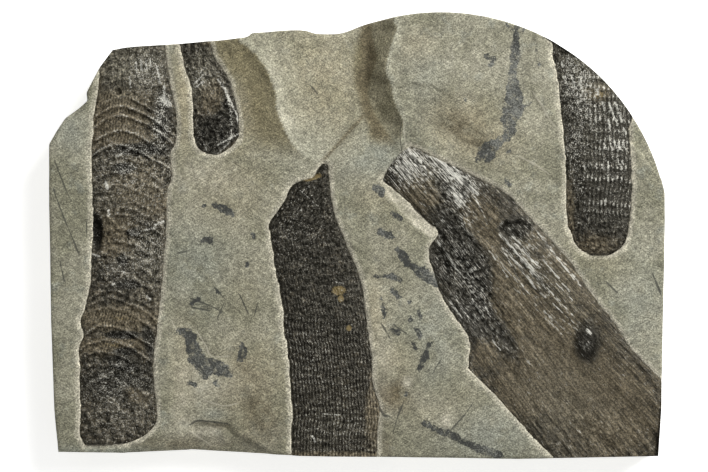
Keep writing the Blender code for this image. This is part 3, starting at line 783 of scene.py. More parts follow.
past_crest = -near(crest_line, x, y, LOOK_REACH)
past_ledge = near(ledge_line, x, y, LOOK_REACH)
past_fold = near(fold_line, x, y, LOOK_REACH)
lit_lobe = soft_step(1.15 - oval(x, y, *LIT_LOBE), 0, 0.3)
flank = (past_crest < 0) * faded(-past_crest, FLANK_FADE) * (1 - lit_lobe)
flank = flank * soft_step(y, HOLLOW_FROM, LOOKS_FULL)
on_wall = soft_step(past_ledge, 0, 0.5) * faded(past_ledge, WALL_FADE)
on_wall = on_wall * soft_step(y, WALL_ABOVE[0], LOOKS_FULL)
wall_shade = on_wall * (0.6 + 0.4 * soft_step(past_fold, -1.0, 1.0))
fold_shade = on_wall * soft_step(past_fold, -0.6, 0.4) * faded(past_fold, BAND_FADE)
# The hollow is painted paler, as fresh stone and as painted light, brightest just past the crest.
fresh_and_lit = (past_crest > 0) * (y > FRESH_AND_LIT_ABOVE) * (0.2 * faded(past_crest, BRIGHT_FADE) + 0.2)
fresh_and_lit = fresh_and_lit * faded(past_crest, FRESH_AND_LIT_FADE) * (past_ledge > 0)
# A painted highlight along the top edge of the ledge.
ledge_highlight = np.exp(np.minimum(past_ledge, 0) / LEDGE_FADE) * (past_ledge <= 0)
ledge_highlight = 0.85 * ledge_highlight * soft_step(y, WALL_ABOVE[1], LOOKS_FULL)
# Painted shade in the crease of the hollow and in a band along the fold of the wall.
crease_shade = np.exp(-(near(crease_line, x, y, 9) / CREASE_FADE) ** 2)
store(slab, "olive_and_shade", np.maximum(flank, wall_shade))
store(slab, "fresh_and_lit", np.maximum(fresh_and_lit, ledge_highlight))
store(slab, "crease_shade", np.maximum(crease_shade, fold_shade))
store(slab, "side", soft_step(ring, 0, BLEND_RINGS))

# The pale cut line round a stem is painted stronger on its right, as painted light that outweighs
# the shade of the trench there. At the left of the plate a painted highlight also brightens it along
# the lower half of a stem's left edge and round its lower end.
RIM_REACH, RIM_WIDTH, RIM_FADE = 6.0, 1.0, 1.5
LIT_RIM_WEST, LOWER_END = -30, 12


def rim_amount(lines):
    """How near each point is to one of the lines, from 1 beside it down to 0."""
    away = np.min([np.abs(near(line, x, y, RIM_REACH)) for line in lines], axis=0)
    return np.exp(-np.maximum(away - RIM_WIDTH, 0) / RIM_FADE)


lower_edges = [np.vstack([left[len(left) // 2:], right[-LOWER_END:][::-1]])
               for left, right in stem_edges.values()]
store(slab, "shaded_rim", rim_amount([right for _, right in stem_edges.values()]))
store(slab, "lit_rim", rim_amount(lower_edges) * (x < LIT_RIM_WEST))

THREAD_REACH, FILM_REACH = 6.0, 8.0
SIDE_TINT = 0.3
store(slab, "to_stem", np.where(ring > 1, EDGE_REACH, np.clip(to_stem, -4, EDGE_REACH)))
store(slab, "to_film", np.where(on_top, strokes(FILMS, x, y, FILM_REACH), FILM_REACH))
for kind, lines in (("thread", THREADS), ("bright", BRIGHT_LINES)):
    distance = line_field(lines, x, y, THREAD_REACH)
    store(slab, "to_" + kind, distance)
    store(slab, kind + "_reach", np.abs(distance))
tints = {"tan": TAN_ZONES, "brown": BROWN_ZONES, "pale": PALE_ZONES, "grey": GREY_ZONES}
for tint, zones in tints.items():
    amount = zone_amount(zones, x, y)
    amount = np.maximum(amount, wedge) if tint == "pale" else amount
    store(slab, tint, np.where(ring > 1, SIDE_TINT * amount, amount))
print("marks:", len(FILMS), "films and", len(THREADS) + len(BRIGHT_LINES), "fine lines")

# %% [markdown]
# ## Grey shale
#
# Shale is hardened mud: clay and silt grains far finer than a millimetre, dull and slightly
# greenish grey. The eye gets it from a fine speckle, soft clouds of tan and blue-grey, and a matt
# surface. Where a tool has cut it, the fresh stone is paler, which is the light line round every
# stem. The pattern sizes below are real ones, and only the speckle is drawn a little coarse.

# %% Shale material
SHALE_MID, SHALE_DARK, SHALE_TAN = "#9A9784", "#85836F", "#A69D82"
SHALE_OLIVE_AND_SHADE, SHALE_FRESH_AND_LIT = "#7B7357", "#BFBDA8"
SHALE_BLUE, SHALE_BROWN_AND_SHADE, SHALE_CUT = "#94978B", "#6B624C", "#CCC6B2"
CARBON, CARBON_PALE, SHALE_PIT = "#3C3D39", "#8B8C84", "#4F4B3E"


shale = Shader("grey_shale")
clouds = shale.grain(22, 3.0, 0.55)
patches = shale.grain(7, 3.0, 0.6, move=0.3)
speckle = shale.grain(0.75, 3.0, 0.75)
dust = shale.grain(0.6, 1.0, 0.5, move=0.9)
streaks = shale.grain(0.7, 3.0, 0.7, stretch=(5, 1, 1), turn=34)
cross_streaks = shale.grain(0.7, 3.0, 0.7, stretch=(4, 1, 1), turn=-28, move=0.4)

colour = shale.blend(shale.ramp(clouds, 0.38, 0.62), SHALE_DARK, SHALE_MID)
grey = shale.times(shale.point("grey"), shale.ramp(patches, 0.3, 0.55, 0.3))
grey = shale.maths("MAXIMUM", grey, shale.ramp(patches, 0.52, 0.72, 0.0, 0.5))
colour = shale.blend(grey, colour, SHALE_BLUE)
# A patchy tint has the limits of its patches and its least share between them.
for name, low, high, least, code in (("tan", 0.25, 0.6, 0.4, SHALE_TAN),
                                     ("brown", 0.3, 0.62, 0.3, SHALE_BROWN_AND_SHADE),
                                     ("pale", 0.35, 0.6, 0.4, SHALE_CUT)):
    amount = shale.times(shale.point(name), shale.ramp(patches, low, high, least))
    colour = shale.blend(amount, colour, code)
# Olive tint with painted shade, fresh stone with painted light, and painted shade in the creases.
for name, share, code in (("olive_and_shade", 0.85, SHALE_OLIVE_AND_SHADE), ("fresh_and_lit", 1.0, SHALE_FRESH_AND_LIT),
                          ("crease_shade", 0.8, SHALE_BROWN_AND_SHADE)):
    colour = shale.blend(shale.times(shale.point(name), share), colour, code)

# The cut line round the stems is a crisp pale line in a wider and softer band.
band_edge = shale.plus(shale.point("to_stem"), shale.times(patches, 3.0, -1.5))
line_edge = shale.times(speckle, 1.2, shale.point("to_stem"))
cut = shale.maths("MAXIMUM", shale.ramp(band_edge, 3.2, 1.5, 0.0, 0.4),
                  shale.ramp(line_edge, 1.8, 1.1, 0.0, 0.85))
cut = shale.times(cut, shale.ramp(speckle, 0.3, 0.6, 0.5))
# The cut line is painted stronger on the shaded rims and as a highlight on the lit rims.
rims = shale.times(shale.point("shaded_rim"), 0.7, 1.0)
rims = shale.times(shale.point("lit_rim"), 0.3, rims)
colour = shale.blend(shale.times(cut, rims), colour, SHALE_CUT)

beds = shale.grain(1.3, 3.0, 0.6, stretch=(40, 40, 1))
colour = shale.shade(colour, beds, 0.72, 1.2, 0.35, 0.65, shale.point("side"))
colour = shale.shade(colour, shale.grain(5, 4.0, 0.65, move=0.8), 0.84, 1.16)
rubbed = shale.times(shale.point("pale"), -0.6, 1.0)
colour = shale.shade(colour, speckle, 0.54, 1.48, amount=rubbed)
colour = shale.shade(colour, dust, 0.78, 1.23)
colour = shale.shade(colour, streaks, 0.8, 1.21, 0.36, 0.64)
colour = shale.shade(colour, cross_streaks, 0.84, 1.17, 0.36, 0.64)
pits = shale.ramp(shale.grain(2.1, 3.0, 0.7, move=0.5), 0.33, 0.27, 0.0, 0.8)
colour = shale.blend(pits, colour, SHALE_PIT)

bright = shale.fine_line("to_bright", "bright_reach", shale.ramp(patches, 0.35, 0.65, 0.15, 0.5))
colour = shale.blend(shale.times(bright, 0.5), colour, SHALE_CUT)
film_edge = shale.times(shale.grain(3.2, 4.0, 0.75), 6.0, -3.0)
film = shale.ramp(shale.plus(shale.point("to_film"), film_edge), 0.2, -0.3)
worn_film = shale.ramp(shale.grain(2.6, 4.0, 0.7, move=0.2), 0.34, 0.48, 0.4)
film_tone = shale.ramp(shale.times(clouds, 0.8, speckle), 0.85, 1.15)
film_colour = shale.blend(film_tone, CARBON, CARBON_PALE)
colour = shale.blend(shale.times(film, worn_film), colour, film_colour)
thread = shale.fine_line("to_thread", "thread_reach", shale.ramp(patches, 0.35, 0.65, 0.1, 0.5))
broken_thread = shale.times(thread, shale.ramp(speckle, 0.35, 0.5, 0.25, 0.8))
colour = shale.blend(broken_thread, colour, CARBON)

scratches = shale.grain(2.2, 2.0, 0.6, stretch=(7, 1, 1), turn=-38, move=0.7)
fine = shale.times(speckle, 0.7, shale.times(streaks, 0.4))
slab.data.materials.append(shale.surface({
    "Base Color": colour, "Roughness": shale.ramp(film, 0, 1, 0.88, 0.7), "IOR": 1.55,
    "Specular IOR Level": 0.3, "Normal": shale.bump(0.8, 0.6, shale.times(scratches, 0.8, fine)),
}))

# %% [markdown]
# ## The stems
#
# Each stem is the cast of a hollow or a pith, skinned with coal. Cross ridges mark where the pith
# was divided, and fine ribs run down its length. A stem is a grid again: its sides are extruded
# down into the shale. Each kind of surface has its own function, which gives the height of its
# ridges in mm, how far each point is up a crest from 0 in a furrow to 1, the strength of its pale
# veins, and two coordinates in mm, across and along its strands. The material reads all but the
# first: it paints the furrows darker as shade and the crests lighter, and puts more painted glints
# on the crests and veins, where they also stand for grains of mineral.

# %% Surfaces of the stems
ROW_PEAK = 0.33
ROW_FALL_LEFT, ROW_FALL_RIGHT = 4.5, 11.0
ROW_WIDTH, BEAD_PITCH = 0.7, 1.5
# Pits of the left stem: middle, half sizes and turn
LEFT_PITS = [(-128.5, 3, 2.2, 7, 8), (-118, 71.5, 1.4, 1.4, 0)]
PIT_DEPTH = 1.3
# Cross ridges of the left stem: height on the plate in mm, and strength
LEFT_ROWS = [
    (69, 0.8), (64.5, 1), (60, 1), (52.5, 1), (45.5, 1), (40, 0.5), (36, 0.5), (31.5, 0.6),
    (25, 0.7), (19, 0.5), (15, 0.6), (11, 0.7), (4, 0.6), (-2.5, 0.5), (-8, 0.5), (-11.5, 0.6),
    (-18, 0.6), (-27.5, 0.7), (-31, 0.8), (-35.5, 0.6), (-44.5, 1), (-51.5, 0.9), (-57.5, 0.8),
    (-63, 0.5), (-70, 0.4), (-78, 0.4), (-86, 0.4), (-94, 0.4),
]
FAN_POINT = (-157, 240)
FAN_RADIUS = 370
COMB_PITCH, BAND_PITCH, RIB_PITCH = 1.6, 4.2, 2.1
# Heights in mm of the ridges, the grit and the slow swells on each kind of surface
ROW_HEIGHT, STRIA_HEIGHT, ROW_GRIT, ROW_SWELL = 0.7, 0.2, 0.75, 0.6
FOLD_HEIGHT, CRUMPLE_GRIT, CRUMPLE_SWELL = 0.6, 0.6, 0.8
COMB_HEIGHT, BAND_HEIGHT, COMB_GRIT, COMB_SWELL = 0.22, 0.2, 0.36, 0.6
STRAND_HEIGHT, RIDGE_HEIGHT, FAN_GRIT, ROUGH_GRIT, FAN_SWELL = 0.28, 0.4, 0.08, 0.9, 0.5
RIB_HEIGHT, DASH_HEIGHT, DASH_GRIT, DASH_SWELL = 0.25, 0.4, 0.45, 0.4
# The fold along the small stem: its place across the stem, and its half width in mm
EDGE_FOLD, EDGE_FOLD_WIDTH = 0.84, 0.8
# The share of the grit is this less how clear the ridges are, so worn parts are the grittiest.
MOST_GRIT = 1.3


def wave(phase):
    return 0.5 + 0.5 * np.cos(2 * np.pi * phase)


def arched_rows(x, y, across, down, width):
    left = ROW_FALL_LEFT * (np.maximum(ROW_PEAK - across, 0) / ROW_PEAK) ** 2
    right = ROW_FALL_RIGHT * (np.maximum(across - ROW_PEAK, 0) / (1 - ROW_PEAK)) ** 1.5
    level = y + (left + right) * (1 + 0.4 * soft_step(y, 20, 55))
    rows, vein = np.zeros(x.shape), np.zeros(x.shape)
    wander = lumps(x, y, 8, 1.3, 3)
    broken = soft_step(lumps(x, y, 9, 4.6, 2), -0.45, 0.1)
    for place, strength in LEFT_ROWS:
        gap = level + (2.2 - 1.5 * strength) * wander - place
        ridge = np.exp(-(gap / ROW_WIDTH) ** 2)
        kept = strength * (1 - (1 - strength) * 1.6 * (1 - broken))
        rows += kept * (ridge - 0.5 * np.exp(-(gap + 1.6) ** 2))
        vein += kept * ridge * (1.0 if strength == 1.0 else 0.6)
    vein *= (0.3 + 0.7 * soft_step(1 - across, 0.05, 0.5)) * (0.55 + 0.9 * lumps(x, y, 2.4, 8.1, 2))
    vein *= (0.45 + 0.55 * wave(x / BEAD_PITCH)) * (0.55 + 0.45 * soft_step(y, 0, 40))
    striae = wave((across * width + 0.5 * lumps(x, y, 9, 2.4)) / BEAD_PITCH)
    smooth_band = zone_amount(LEFT_BANDS, x, y)
    grit = lumps(x, y, 2.4, 4.1, 3) * (1 - 0.75 * smooth_band)
    height = ROW_HEIGHT * rows + STRIA_HEIGHT * striae * smooth_band + ROW_GRIT * grit
    height += ROW_SWELL * lumps(x, y, 7, 9.9, 2)
    crest = 0.42 + 0.3 * rows + 0.3 * (striae - 0.5) * smooth_band + 0.3 * grit
    pit = sum(np.exp(-oval(x, y, *place) ** 4) for place in LEFT_PITS)
    return height - PIT_DEPTH * pit, crest - pit, vein, x.copy(), y.copy()


def crumpled(x, y, across, down, width):
    grit = lumps(x, y, 1.8, 4.1, 3)
    fold = np.exp(-((across - EDGE_FOLD) * width / EDGE_FOLD_WIDTH) ** 2) * soft_step(down, 20, 32)
    height = CRUMPLE_SWELL * lumps(x, y, 5.5, 2.9, 3) + CRUMPLE_GRIT * grit + FOLD_HEIGHT * fold
    crest = 0.42 + 0.35 * grit + 0.2 * fold
    return height, crest, 0.6 * fold, across * width, down


def combed(x, y, across, down, width):
    u = across * width + 0.7 * lumps(x, y, 12, 2.4, 2)
    comb = wave(u / COMB_PITCH)
    bands = wave((down + 2.6 * lumps(x, y, 9, 1.9, 2)) / BAND_PITCH)
    clear = 0.35 + 0.65 * soft_step(down, 60, 110)
    grit = lumps(x, y, 1.7, 6.1, 3)
    height = clear * (COMB_HEIGHT * comb + BAND_HEIGHT * bands)
    height += COMB_GRIT * grit * (MOST_GRIT - clear) + COMB_SWELL * lumps(x, y, 9, 3.7, 2)
    crest = 0.36 + clear * (0.3 * (comb - 0.5) + 0.2 * comb * bands) + 0.3 * grit
    return height, crest, 0.25 * clear * comb * bands, u, down


def fanned(x, y, across, down, width):
    dx, dy = x - FAN_POINT[0], FAN_POINT[1] - y
    along = np.hypot(dx, dy)
    u = FAN_RADIUS * np.arctan2(dy, dx)
    strands = lumps(u, along / 14, 1.9, 3.3, 3)
    ridges = lumps(u, along / 8, 6.0, 5.8, 2)
    grit = lumps(x, y, 1.9, 8.8, 3)
    rough = zone_amount(ROUGH_COAL, x, y)
    plain = 1 - 0.75 * zone_amount(DULL_COAL, x, y)
    height = plain * (STRAND_HEIGHT * strands + RIDGE_HEIGHT * ridges)
    height += (FAN_GRIT + ROUGH_GRIT * rough) * grit + FAN_SWELL * lumps(x, y, 22, 7.1, 2)
    for *place, lift in DIAGONAL_FORMS:
        height += lift * soft_step(1 - oval(x, y, *place), 0.0, 0.6)
    crest = 0.42 + plain * (0.2 * strands + 0.12 * ridges) + (0.06 + 0.3 * rough) * grit
    return height, crest, np.zeros(x.shape), u, along


def dashed(x, y, across, down, width):
    u = across * width + 0.08 * down + 1.2 * lumps(x, y, 13, 2.4)
    ribs = wave(u / RIB_PITCH) ** 1.5
    level = y + 2.5 * (across - 0.5) + 1.5 * lumps(x, y, 8, 1.9, 2)
    bands = np.zeros(x.shape)
    for place, strength in RIGHT_ROWS:
        bands += strength * np.exp(-((level - place) / 1.1) ** 2)
    clear = soft_step(across, 0.1, 0.5) * soft_step(y, -4, 12)
    grit = lumps(x, y, 1.8, 6.1, 3)
    height = clear * (RIB_HEIGHT * ribs + DASH_HEIGHT * bands)
    height += DASH_GRIT * grit * (MOST_GRIT - clear) + DASH_SWELL * lumps(x, y, 8, 3.7, 2)
    crest = 0.36 + clear * (0.16 * ribs + 0.4 * ribs * bands) + 0.3 * grit * (MOST_GRIT - clear)
    uneven = 0.7 + 0.9 * lumps(x, y, 4.0, 8.1, 2)
    return height, crest, ribs * bands * uneven * (0.25 + 0.75 * clear), u, down


# Rows of dashes on the right stem: height on the plate in mm, and strength
RIGHT_ROWS = [
    (90, 0.7), (84, 0.6), (78, 1), (73.5, 1), (69, 1), (65, 0.6), (61.5, 0.5), (57.5, 0.9),
    (52, 0.5), (47.5, 1), (44, 0.9), (40, 0.5), (34.5, 1), (28.5, 1), (23, 0.5), (16, 1), (12, 0.7),
    (7, 0.3),
]
LEFT_BANDS = [
    (-120, 67, 12, 4, 0, 0.9), (-120, 58, 12, 5, 0, 0.9), (-119, 50, 13, 4, 0, 0.9),
    (-119, -41, 13, 4.5, 0, 0.9), (-121, -54, 12, 3, 0, 0.9),
]
DULL_COAL = [
    (110, -72, 26, 34, 42, 1), (84, -72, 12, 22, 42, 0.7), (66, 0, 10, 14, 20, 0.4),
]
ROUGH_COAL = [
    (30, 33, 16, 9, -40, 0.9), (48, 14, 9, 24, 30, 0.9), (55, -20, 11, 28, 28, 1),
    (70, -52, 7, 16, 30, 0.6), (80, 6, 10, 6, 0, 0.8), (120, -98, 14, 8, 0, 0.5),
]
DIAGONAL_FORMS = [
    (77.5, 3.5, 9, 5, 10, -1.6), (41.5, -13, 4.5, 10, 25, -1.6), (114, -53, 6, 9, 0, 1.6),
    (106.5, -54, 2.2, 8, -15, -0.9), (46, -9, 2, 14, 33, 0.8), (61, 5, 8, 12, 20, -0.7),
]
# Crown in mm, spacing of the mesh in mm, and how the surface is made
STEM_FORMS = {
    "stem_left": (1.9, 0.38, arched_rows),
    "stem_small": (1.3, 0.36, crumpled),
    "stem_middle": (2.1, 0.38, combed),
    "stem_diagonal": (1.8, 0.45, fanned),
    "stem_right": (1.9, 0.38, dashed),
}

# %% Stem meshes
STEM_SINK = 0.9
SIDE_RINGS = 5
# How far the broken top end of a stem bows out, in mm
TIP_BOW = {"stem_diagonal": 1.9}
TIP_REACH, TIP_POINTS = 5.0, 10


def build_stem(name):
    crown, spacing, surface_of = STEM_FORMS[name]
    left, right = stem_edges[name]
    length = np.hypot(*np.diff(left, axis=0).T).sum()
    tests = np.linspace(0, 1, 20)
    widest = np.hypot(*(at_share(left, tests) - at_share(right, tests)).T).max()
    shape = grid_with_walls(round(widest / spacing), round(length / spacing), SIDE_RINGS)
    piece = mesh_object(name.replace("stem", "coal"), shape)
    unit = read_points(piece)
    across, share, depth = unit[:, 0], 1 - unit[:, 1], -unit[:, 2] / SIDE_RINGS
    first, last = at_share(left, share), at_share(right, share)
    width = np.hypot(*(last - first).T)
    narrowed = np.clip(1 - 2 * STEM_DRAFT * depth / np.maximum(width, 1), 0.1, 1)
    flat = first + (last - first) * (0.5 + (across - 0.5) * narrowed)[:, None]
    down = share * length
    ahead = left[TIP_POINTS] - left[0]
    bow = TIP_BOW.get(name, 0) * np.exp(-down / TIP_REACH) * (1 - (2 * across - 1) ** 2)
    flat -= ahead / np.hypot(*ahead) * bow[:, None]
    x, y = flat[:, 0], flat[:, 1]
    detail, *looks = surface_of(x, y, across, down, width)
    bulge = np.clip(1 - (2 * across - 1) ** 2, 0, 1)
    top = bed_height(x, y) - STEM_SINK + crown * bulge ** 0.6 + detail * bulge ** 0.2
    z = top - (STEM_THICKNESS - 1.0) * depth
    return piece, x, y, z, *looks


stems = {}
for name in STEM_EDGES:
    stems[name] = build_stem(name)
    print(name, len(stems[name][0].data.vertices), "points")

# %% [markdown]
# A stem that runs out of the plate was sawn or broken off with it. So each one is built past the
# edge, and then the points beyond the plate are pulled back on to its side.

# %% Trim the stems to the plate


def trim_to_plate(x, y):
    """Moves points that are outside the plate on to its outline, and counts them."""
    beyond = np.flatnonzero(~inside(outline, x, y))
    for index in beyond:
        gap = (outline[:, 0] - x[index]) ** 2 + (outline[:, 1] - y[index]) ** 2
        x[index], y[index] = outline[np.argmin(gap)]
    return len(beyond)


for name, (piece, x, y, z, *_) in stems.items():
    print(name, "points pulled in:", trim_to_plate(x, y))
    write_points(piece, x, y, z)

# %% [markdown]
# ## Coal
#
# Coalified tissue is black where it is vitreous and brown where it is dull and earthy. The black
# parts break like glass and throw small sharp glints. So they are glossy with a fine uneven bump,
# and the glints are painted: pale sparks lie wherever fine noise passes a limit, which crests, veins,
# glint streaks and whole zones of a stem make easier to pass.

# %% Coal material
COAL_BLACK, COAL_BROWN, COAL_GLINT, COAL_OCHRE = "#2B2923", "#5C5444", "#D8D6CB", "#857550"
COAL_SHEEN, COAL_GREY_TONE = "#F6EFDC", "#6C685A"
BLACKENED = (0.36, 0.36, 0.36, 1.0)
SPARK_RISE = 0.12


def coal_material(name, brown_amount, drawn_out, glint_level, gap):
    coal = Shader(name)
    flow = coal.add("ShaderNodeUVMap", uv_map="flow").outputs[0]
    crest, dull, glint = coal.point("crest"), coal.point("dull"), coal.point("glint")
    vein, glint_streak = coal.point("vein"), coal.point("glint_streak")
    mottle = coal.grain(3.5, 4.0, 0.7)
    fine = coal.grain(0.8, 2.0, 0.7, move=0.6)
    strand = coal.grain(0.8, 3.0, 0.65, stretch=(1, drawn_out, 1), flow=flow)
    glitter = coal.grain(0.5, 1.0, 0.5, stretch=(1, 1 + 0.35 * drawn_out, 1), move=3.0, flow=flow)

    earthy = coal.plus(coal.point("brown"), coal.maths("SUBTRACT", mottle, 1 - brown_amount))
    earthy = coal.maths("MAXIMUM", coal.ramp(earthy, -0.1, 0.3), coal.times(dull, 0.9))
    grey_tone = coal.times(coal.point("grey_tone"), coal.ramp(mottle, 0.3, 0.6, 0.5))
    colour = coal.blend(earthy, COAL_BLACK, COAL_BROWN)
    colour = coal.blend(grey_tone, colour, COAL_GREY_TONE)
    # Furrows are painted darker as shade and crests lighter as highlight.
    colour = coal.shade(colour, crest, 0.3, 1.8, 0.0, 1.0)
    lively = coal.times(dull, -0.5, 1.0)
    colour = coal.shade(colour, strand, 0.3, 1.8, 0.33, 0.67, lively)
    colour = coal.shade(colour, fine, 0.42, 1.72, 0.33, 0.67)
    colour = coal.blend(coal.point("black"), colour, BLACKENED, "MULTIPLY")
    ochre = coal.ramp(coal.times(fine, 0.7, coal.point("ochre")), 0.75, 0.9, 0.0, 0.85)
    colour = coal.blend(ochre, colour, COAL_OCHRE)

    # The sparks are painted glints, among which are pale grains of mineral.
    likely = coal.times(crest, 0.2)
    for value, weight in ((glint, 0.18), (vein, 0.2), (glint_streak, 0.24), (mottle, 0.7), (earthy, -0.06)):
        likely = coal.times(value, weight, likely)
    sparks = coal.ramp(coal.plus(glitter, likely), glint_level, glint_level + SPARK_RISE)
    bright = coal.plus(coal.plus(glint, vein), glint_streak)
    for share in (coal.ramp(bright, 0.0, 1.0, 0.4, 0.95), lively, coal.ramp(strand, 0.42, 0.55, gap)):
        sparks = coal.times(sparks, share)
    colour = coal.blend(sparks, colour, COAL_GLINT)

    rough = coal.times(fine, 0.6, coal.times(strand, 0.8))
    return coal.surface({
        "Base Color": colour, "Roughness": coal.ramp(earthy, 0.0, 1.0, 0.2, 0.6), "IOR": 1.6,
        "Specular IOR Level": coal.ramp(crest, 0.2, 0.8, 0.1, 0.7), "Specular Tint": COAL_SHEEN,
        "Normal": coal.bump(coal.ramp(earthy, 0.2, 1.0, 1.0, 0.4), 0.7, rough),
    })


# Zones on the stems: middle, half sizes, turn in degrees and amount
STEM_BROWN = [
    (-120, 67, 12, 4, 0, 0.6), (-120, 58, 12, 5, 0, 0.6), (-119, 49, 13, 4, 0, 0.6),
    (-117, -41, 14, 4.5, 0, 0.7), (-119, -54, 14, 3, 0, 0.7), (-110, -78, 5, 3, -30, 0.6),
    (61, 4, 9, 13, 20, 0.8), (77, -30, 10, 22, 38, 0.8), (33, 22, 8, 7, -30, 0.7),
    (100, -62, 22, 34, 40, 0.65), (125, -85, 20, 22, 30, 0.6), (64, -58, 6, 8, 0, 0.5),
    (82, -76, 14, 10, -45, 0.7), (100, -20, 10, 26, 42, 0.35), (-59, 45.5, 5, 4, 30, 0.9),
    (-71, 66, 4.5, 9, 10, 0.9), (-72, 97, 6, 3, -20, 0.6), (-131, 80, 3, 12, 0, 0.8),
    (8, -88, 3, 14, 0, 0.7), (119, 71, 6, 5, 0, 0.6), (104.5, 12, 2.5, 14, 0, 0.7),
    (117, -4, 10, 5, 0, 0.5), (137, 78, 4, 16, 25, 0.7), (-12, -109, 24, 1.6, 0, 1),
    (10, -88, 2.4, 12, 0, 0.9), (-119, 1, 7, 8, 0, 0.7), (-110, 26, 9, 9, 0, 0.6),
    (-100, 17, 6, 5, 0, 0.6),
]
# Black coal; where it lies on the pits of the left and diagonal stems it is also painted shade in the
# pit.
STEM_BLACK = [
    (49.5, 0, 7, 15, 30, 0.9), (55, -11, 9, 22, 28, 1), (58, -38, 9, 14, 30, 1),
    (-67, 53, 11, 9, 25, 1.15), (114, -53, 6.5, 10, 0, 1), (77.5, 4, 8, 5, 10, 0.8),
    (41.5, -14, 4.5, 10, 25, 1), (47, 24, 10, 7, -40, 0.6), (72, -50, 5, 14, 35, 0.6),
    (-116, -49, 8, 2, 0, 1), (-115, -57, 6, 2, 0, 1), (-107, 43, 14, 3, 0, 0.8),
    (-115, -63.5, 7.5, 3.4, -12, 1), (-103, -52, 3, 9, 12, 0.6), (-96, 58, 4, 12, 0, 0.5),
    (-111, 1.6, 4, 2.2, 0, 0.8), (-116, -12, 2.5, 3, 0, 0.8), (-113.5, -24, 6, 2.2, 0, 0.8),
    (-115, 33.5, 6, 3, 0, 0.8), (-66, 61, 7, 8, 0, 0.5), (-129, 3, 3, 8, 0, 0.9),
    (-118, -72, 20, 8, 0, 0.4), (120, 36, 14, 40, 0, 0.3),
]
# Zones where the painted glints gather.
STEM_GLINT = [
    (27, 34, 12, 10, -40, 1.5), (46, 32, 19, 6, -38, 1.3), (51, 18, 5, 14, 25, 1.1),
    (56, -22, 9, 26, 28, 0.45), (88, -14, 22, 12, -48, 0.6), (110, 72, 10, 20, 10, 0.8),
    (108, 44, 6, 16, 0, 0.6), (106, 84, 6, 8, 0, 0.8), (110, 28, 6, 8, 0, 0.4),
    (128, 48, 8, 22, 0, 0.3), (-104, 82, 10, 12, 0, 0.7), (-96, 67, 4, 5, 0, 1),
    (-98, 52, 5, 14, 0, 0.7), (-110, 30, 24, 22, 0, 0.55), (-105, -5, 14, 20, 0, 0.55),
    (-119, -16, 12, 12, 0, 0.5), (-118, -80, 20, 26, 0, 0.45), (-77, 78, 6, 6, 0, 0.7),
    (-12, -95, 20, 10, 0, 0.25), (-30, 5, 14, 18, 0, 0.35), (-25, -55, 12, 24, 0, 0.2),
]
# Zones where the coal takes a lighter grey tone.
STEM_GREY_TONE = [
    (-112, 84, 20, 13, 0, 0.9), (-77, 80, 8, 10, 0, 0.8), (-113, 26, 22, 14, 0, 0.35),
    (-104, -14, 12, 16, 0, 0.4), (116, 84, 16, 16, 0, 0.6), (112, 52, 10, 24, 0, 0.3),
    (34, 33, 14, 8, -40, 0.5), (98, -24, 8, 30, 42, 0.3), (100, -84, 18, 24, 42, 0.35),
    (-10, -95, 22, 14, 0, 0.2), (-118, -84, 20, 18, 0, 0.15),
]
STEM_OCHRE = [
    (-9, -27, 3.6, 2.4, 0, 1), (-8, -31, 1.6, 1.8, 0, 1), (-4, -45.5, 1.8, 1.8, 0, 0.8),
    (-22, 29, 6, 1.8, 15, 0.8), (-118, -41, 12, 2.8, 0, 0.45), (-121, -54, 11, 2.6, 0, 0.45),
    (120, 70, 5.5, 3.5, 0, 0.5), (-118, 59, 10, 3, 0, 0.33), (64, -58, 5, 5, 0, 0.35),
]
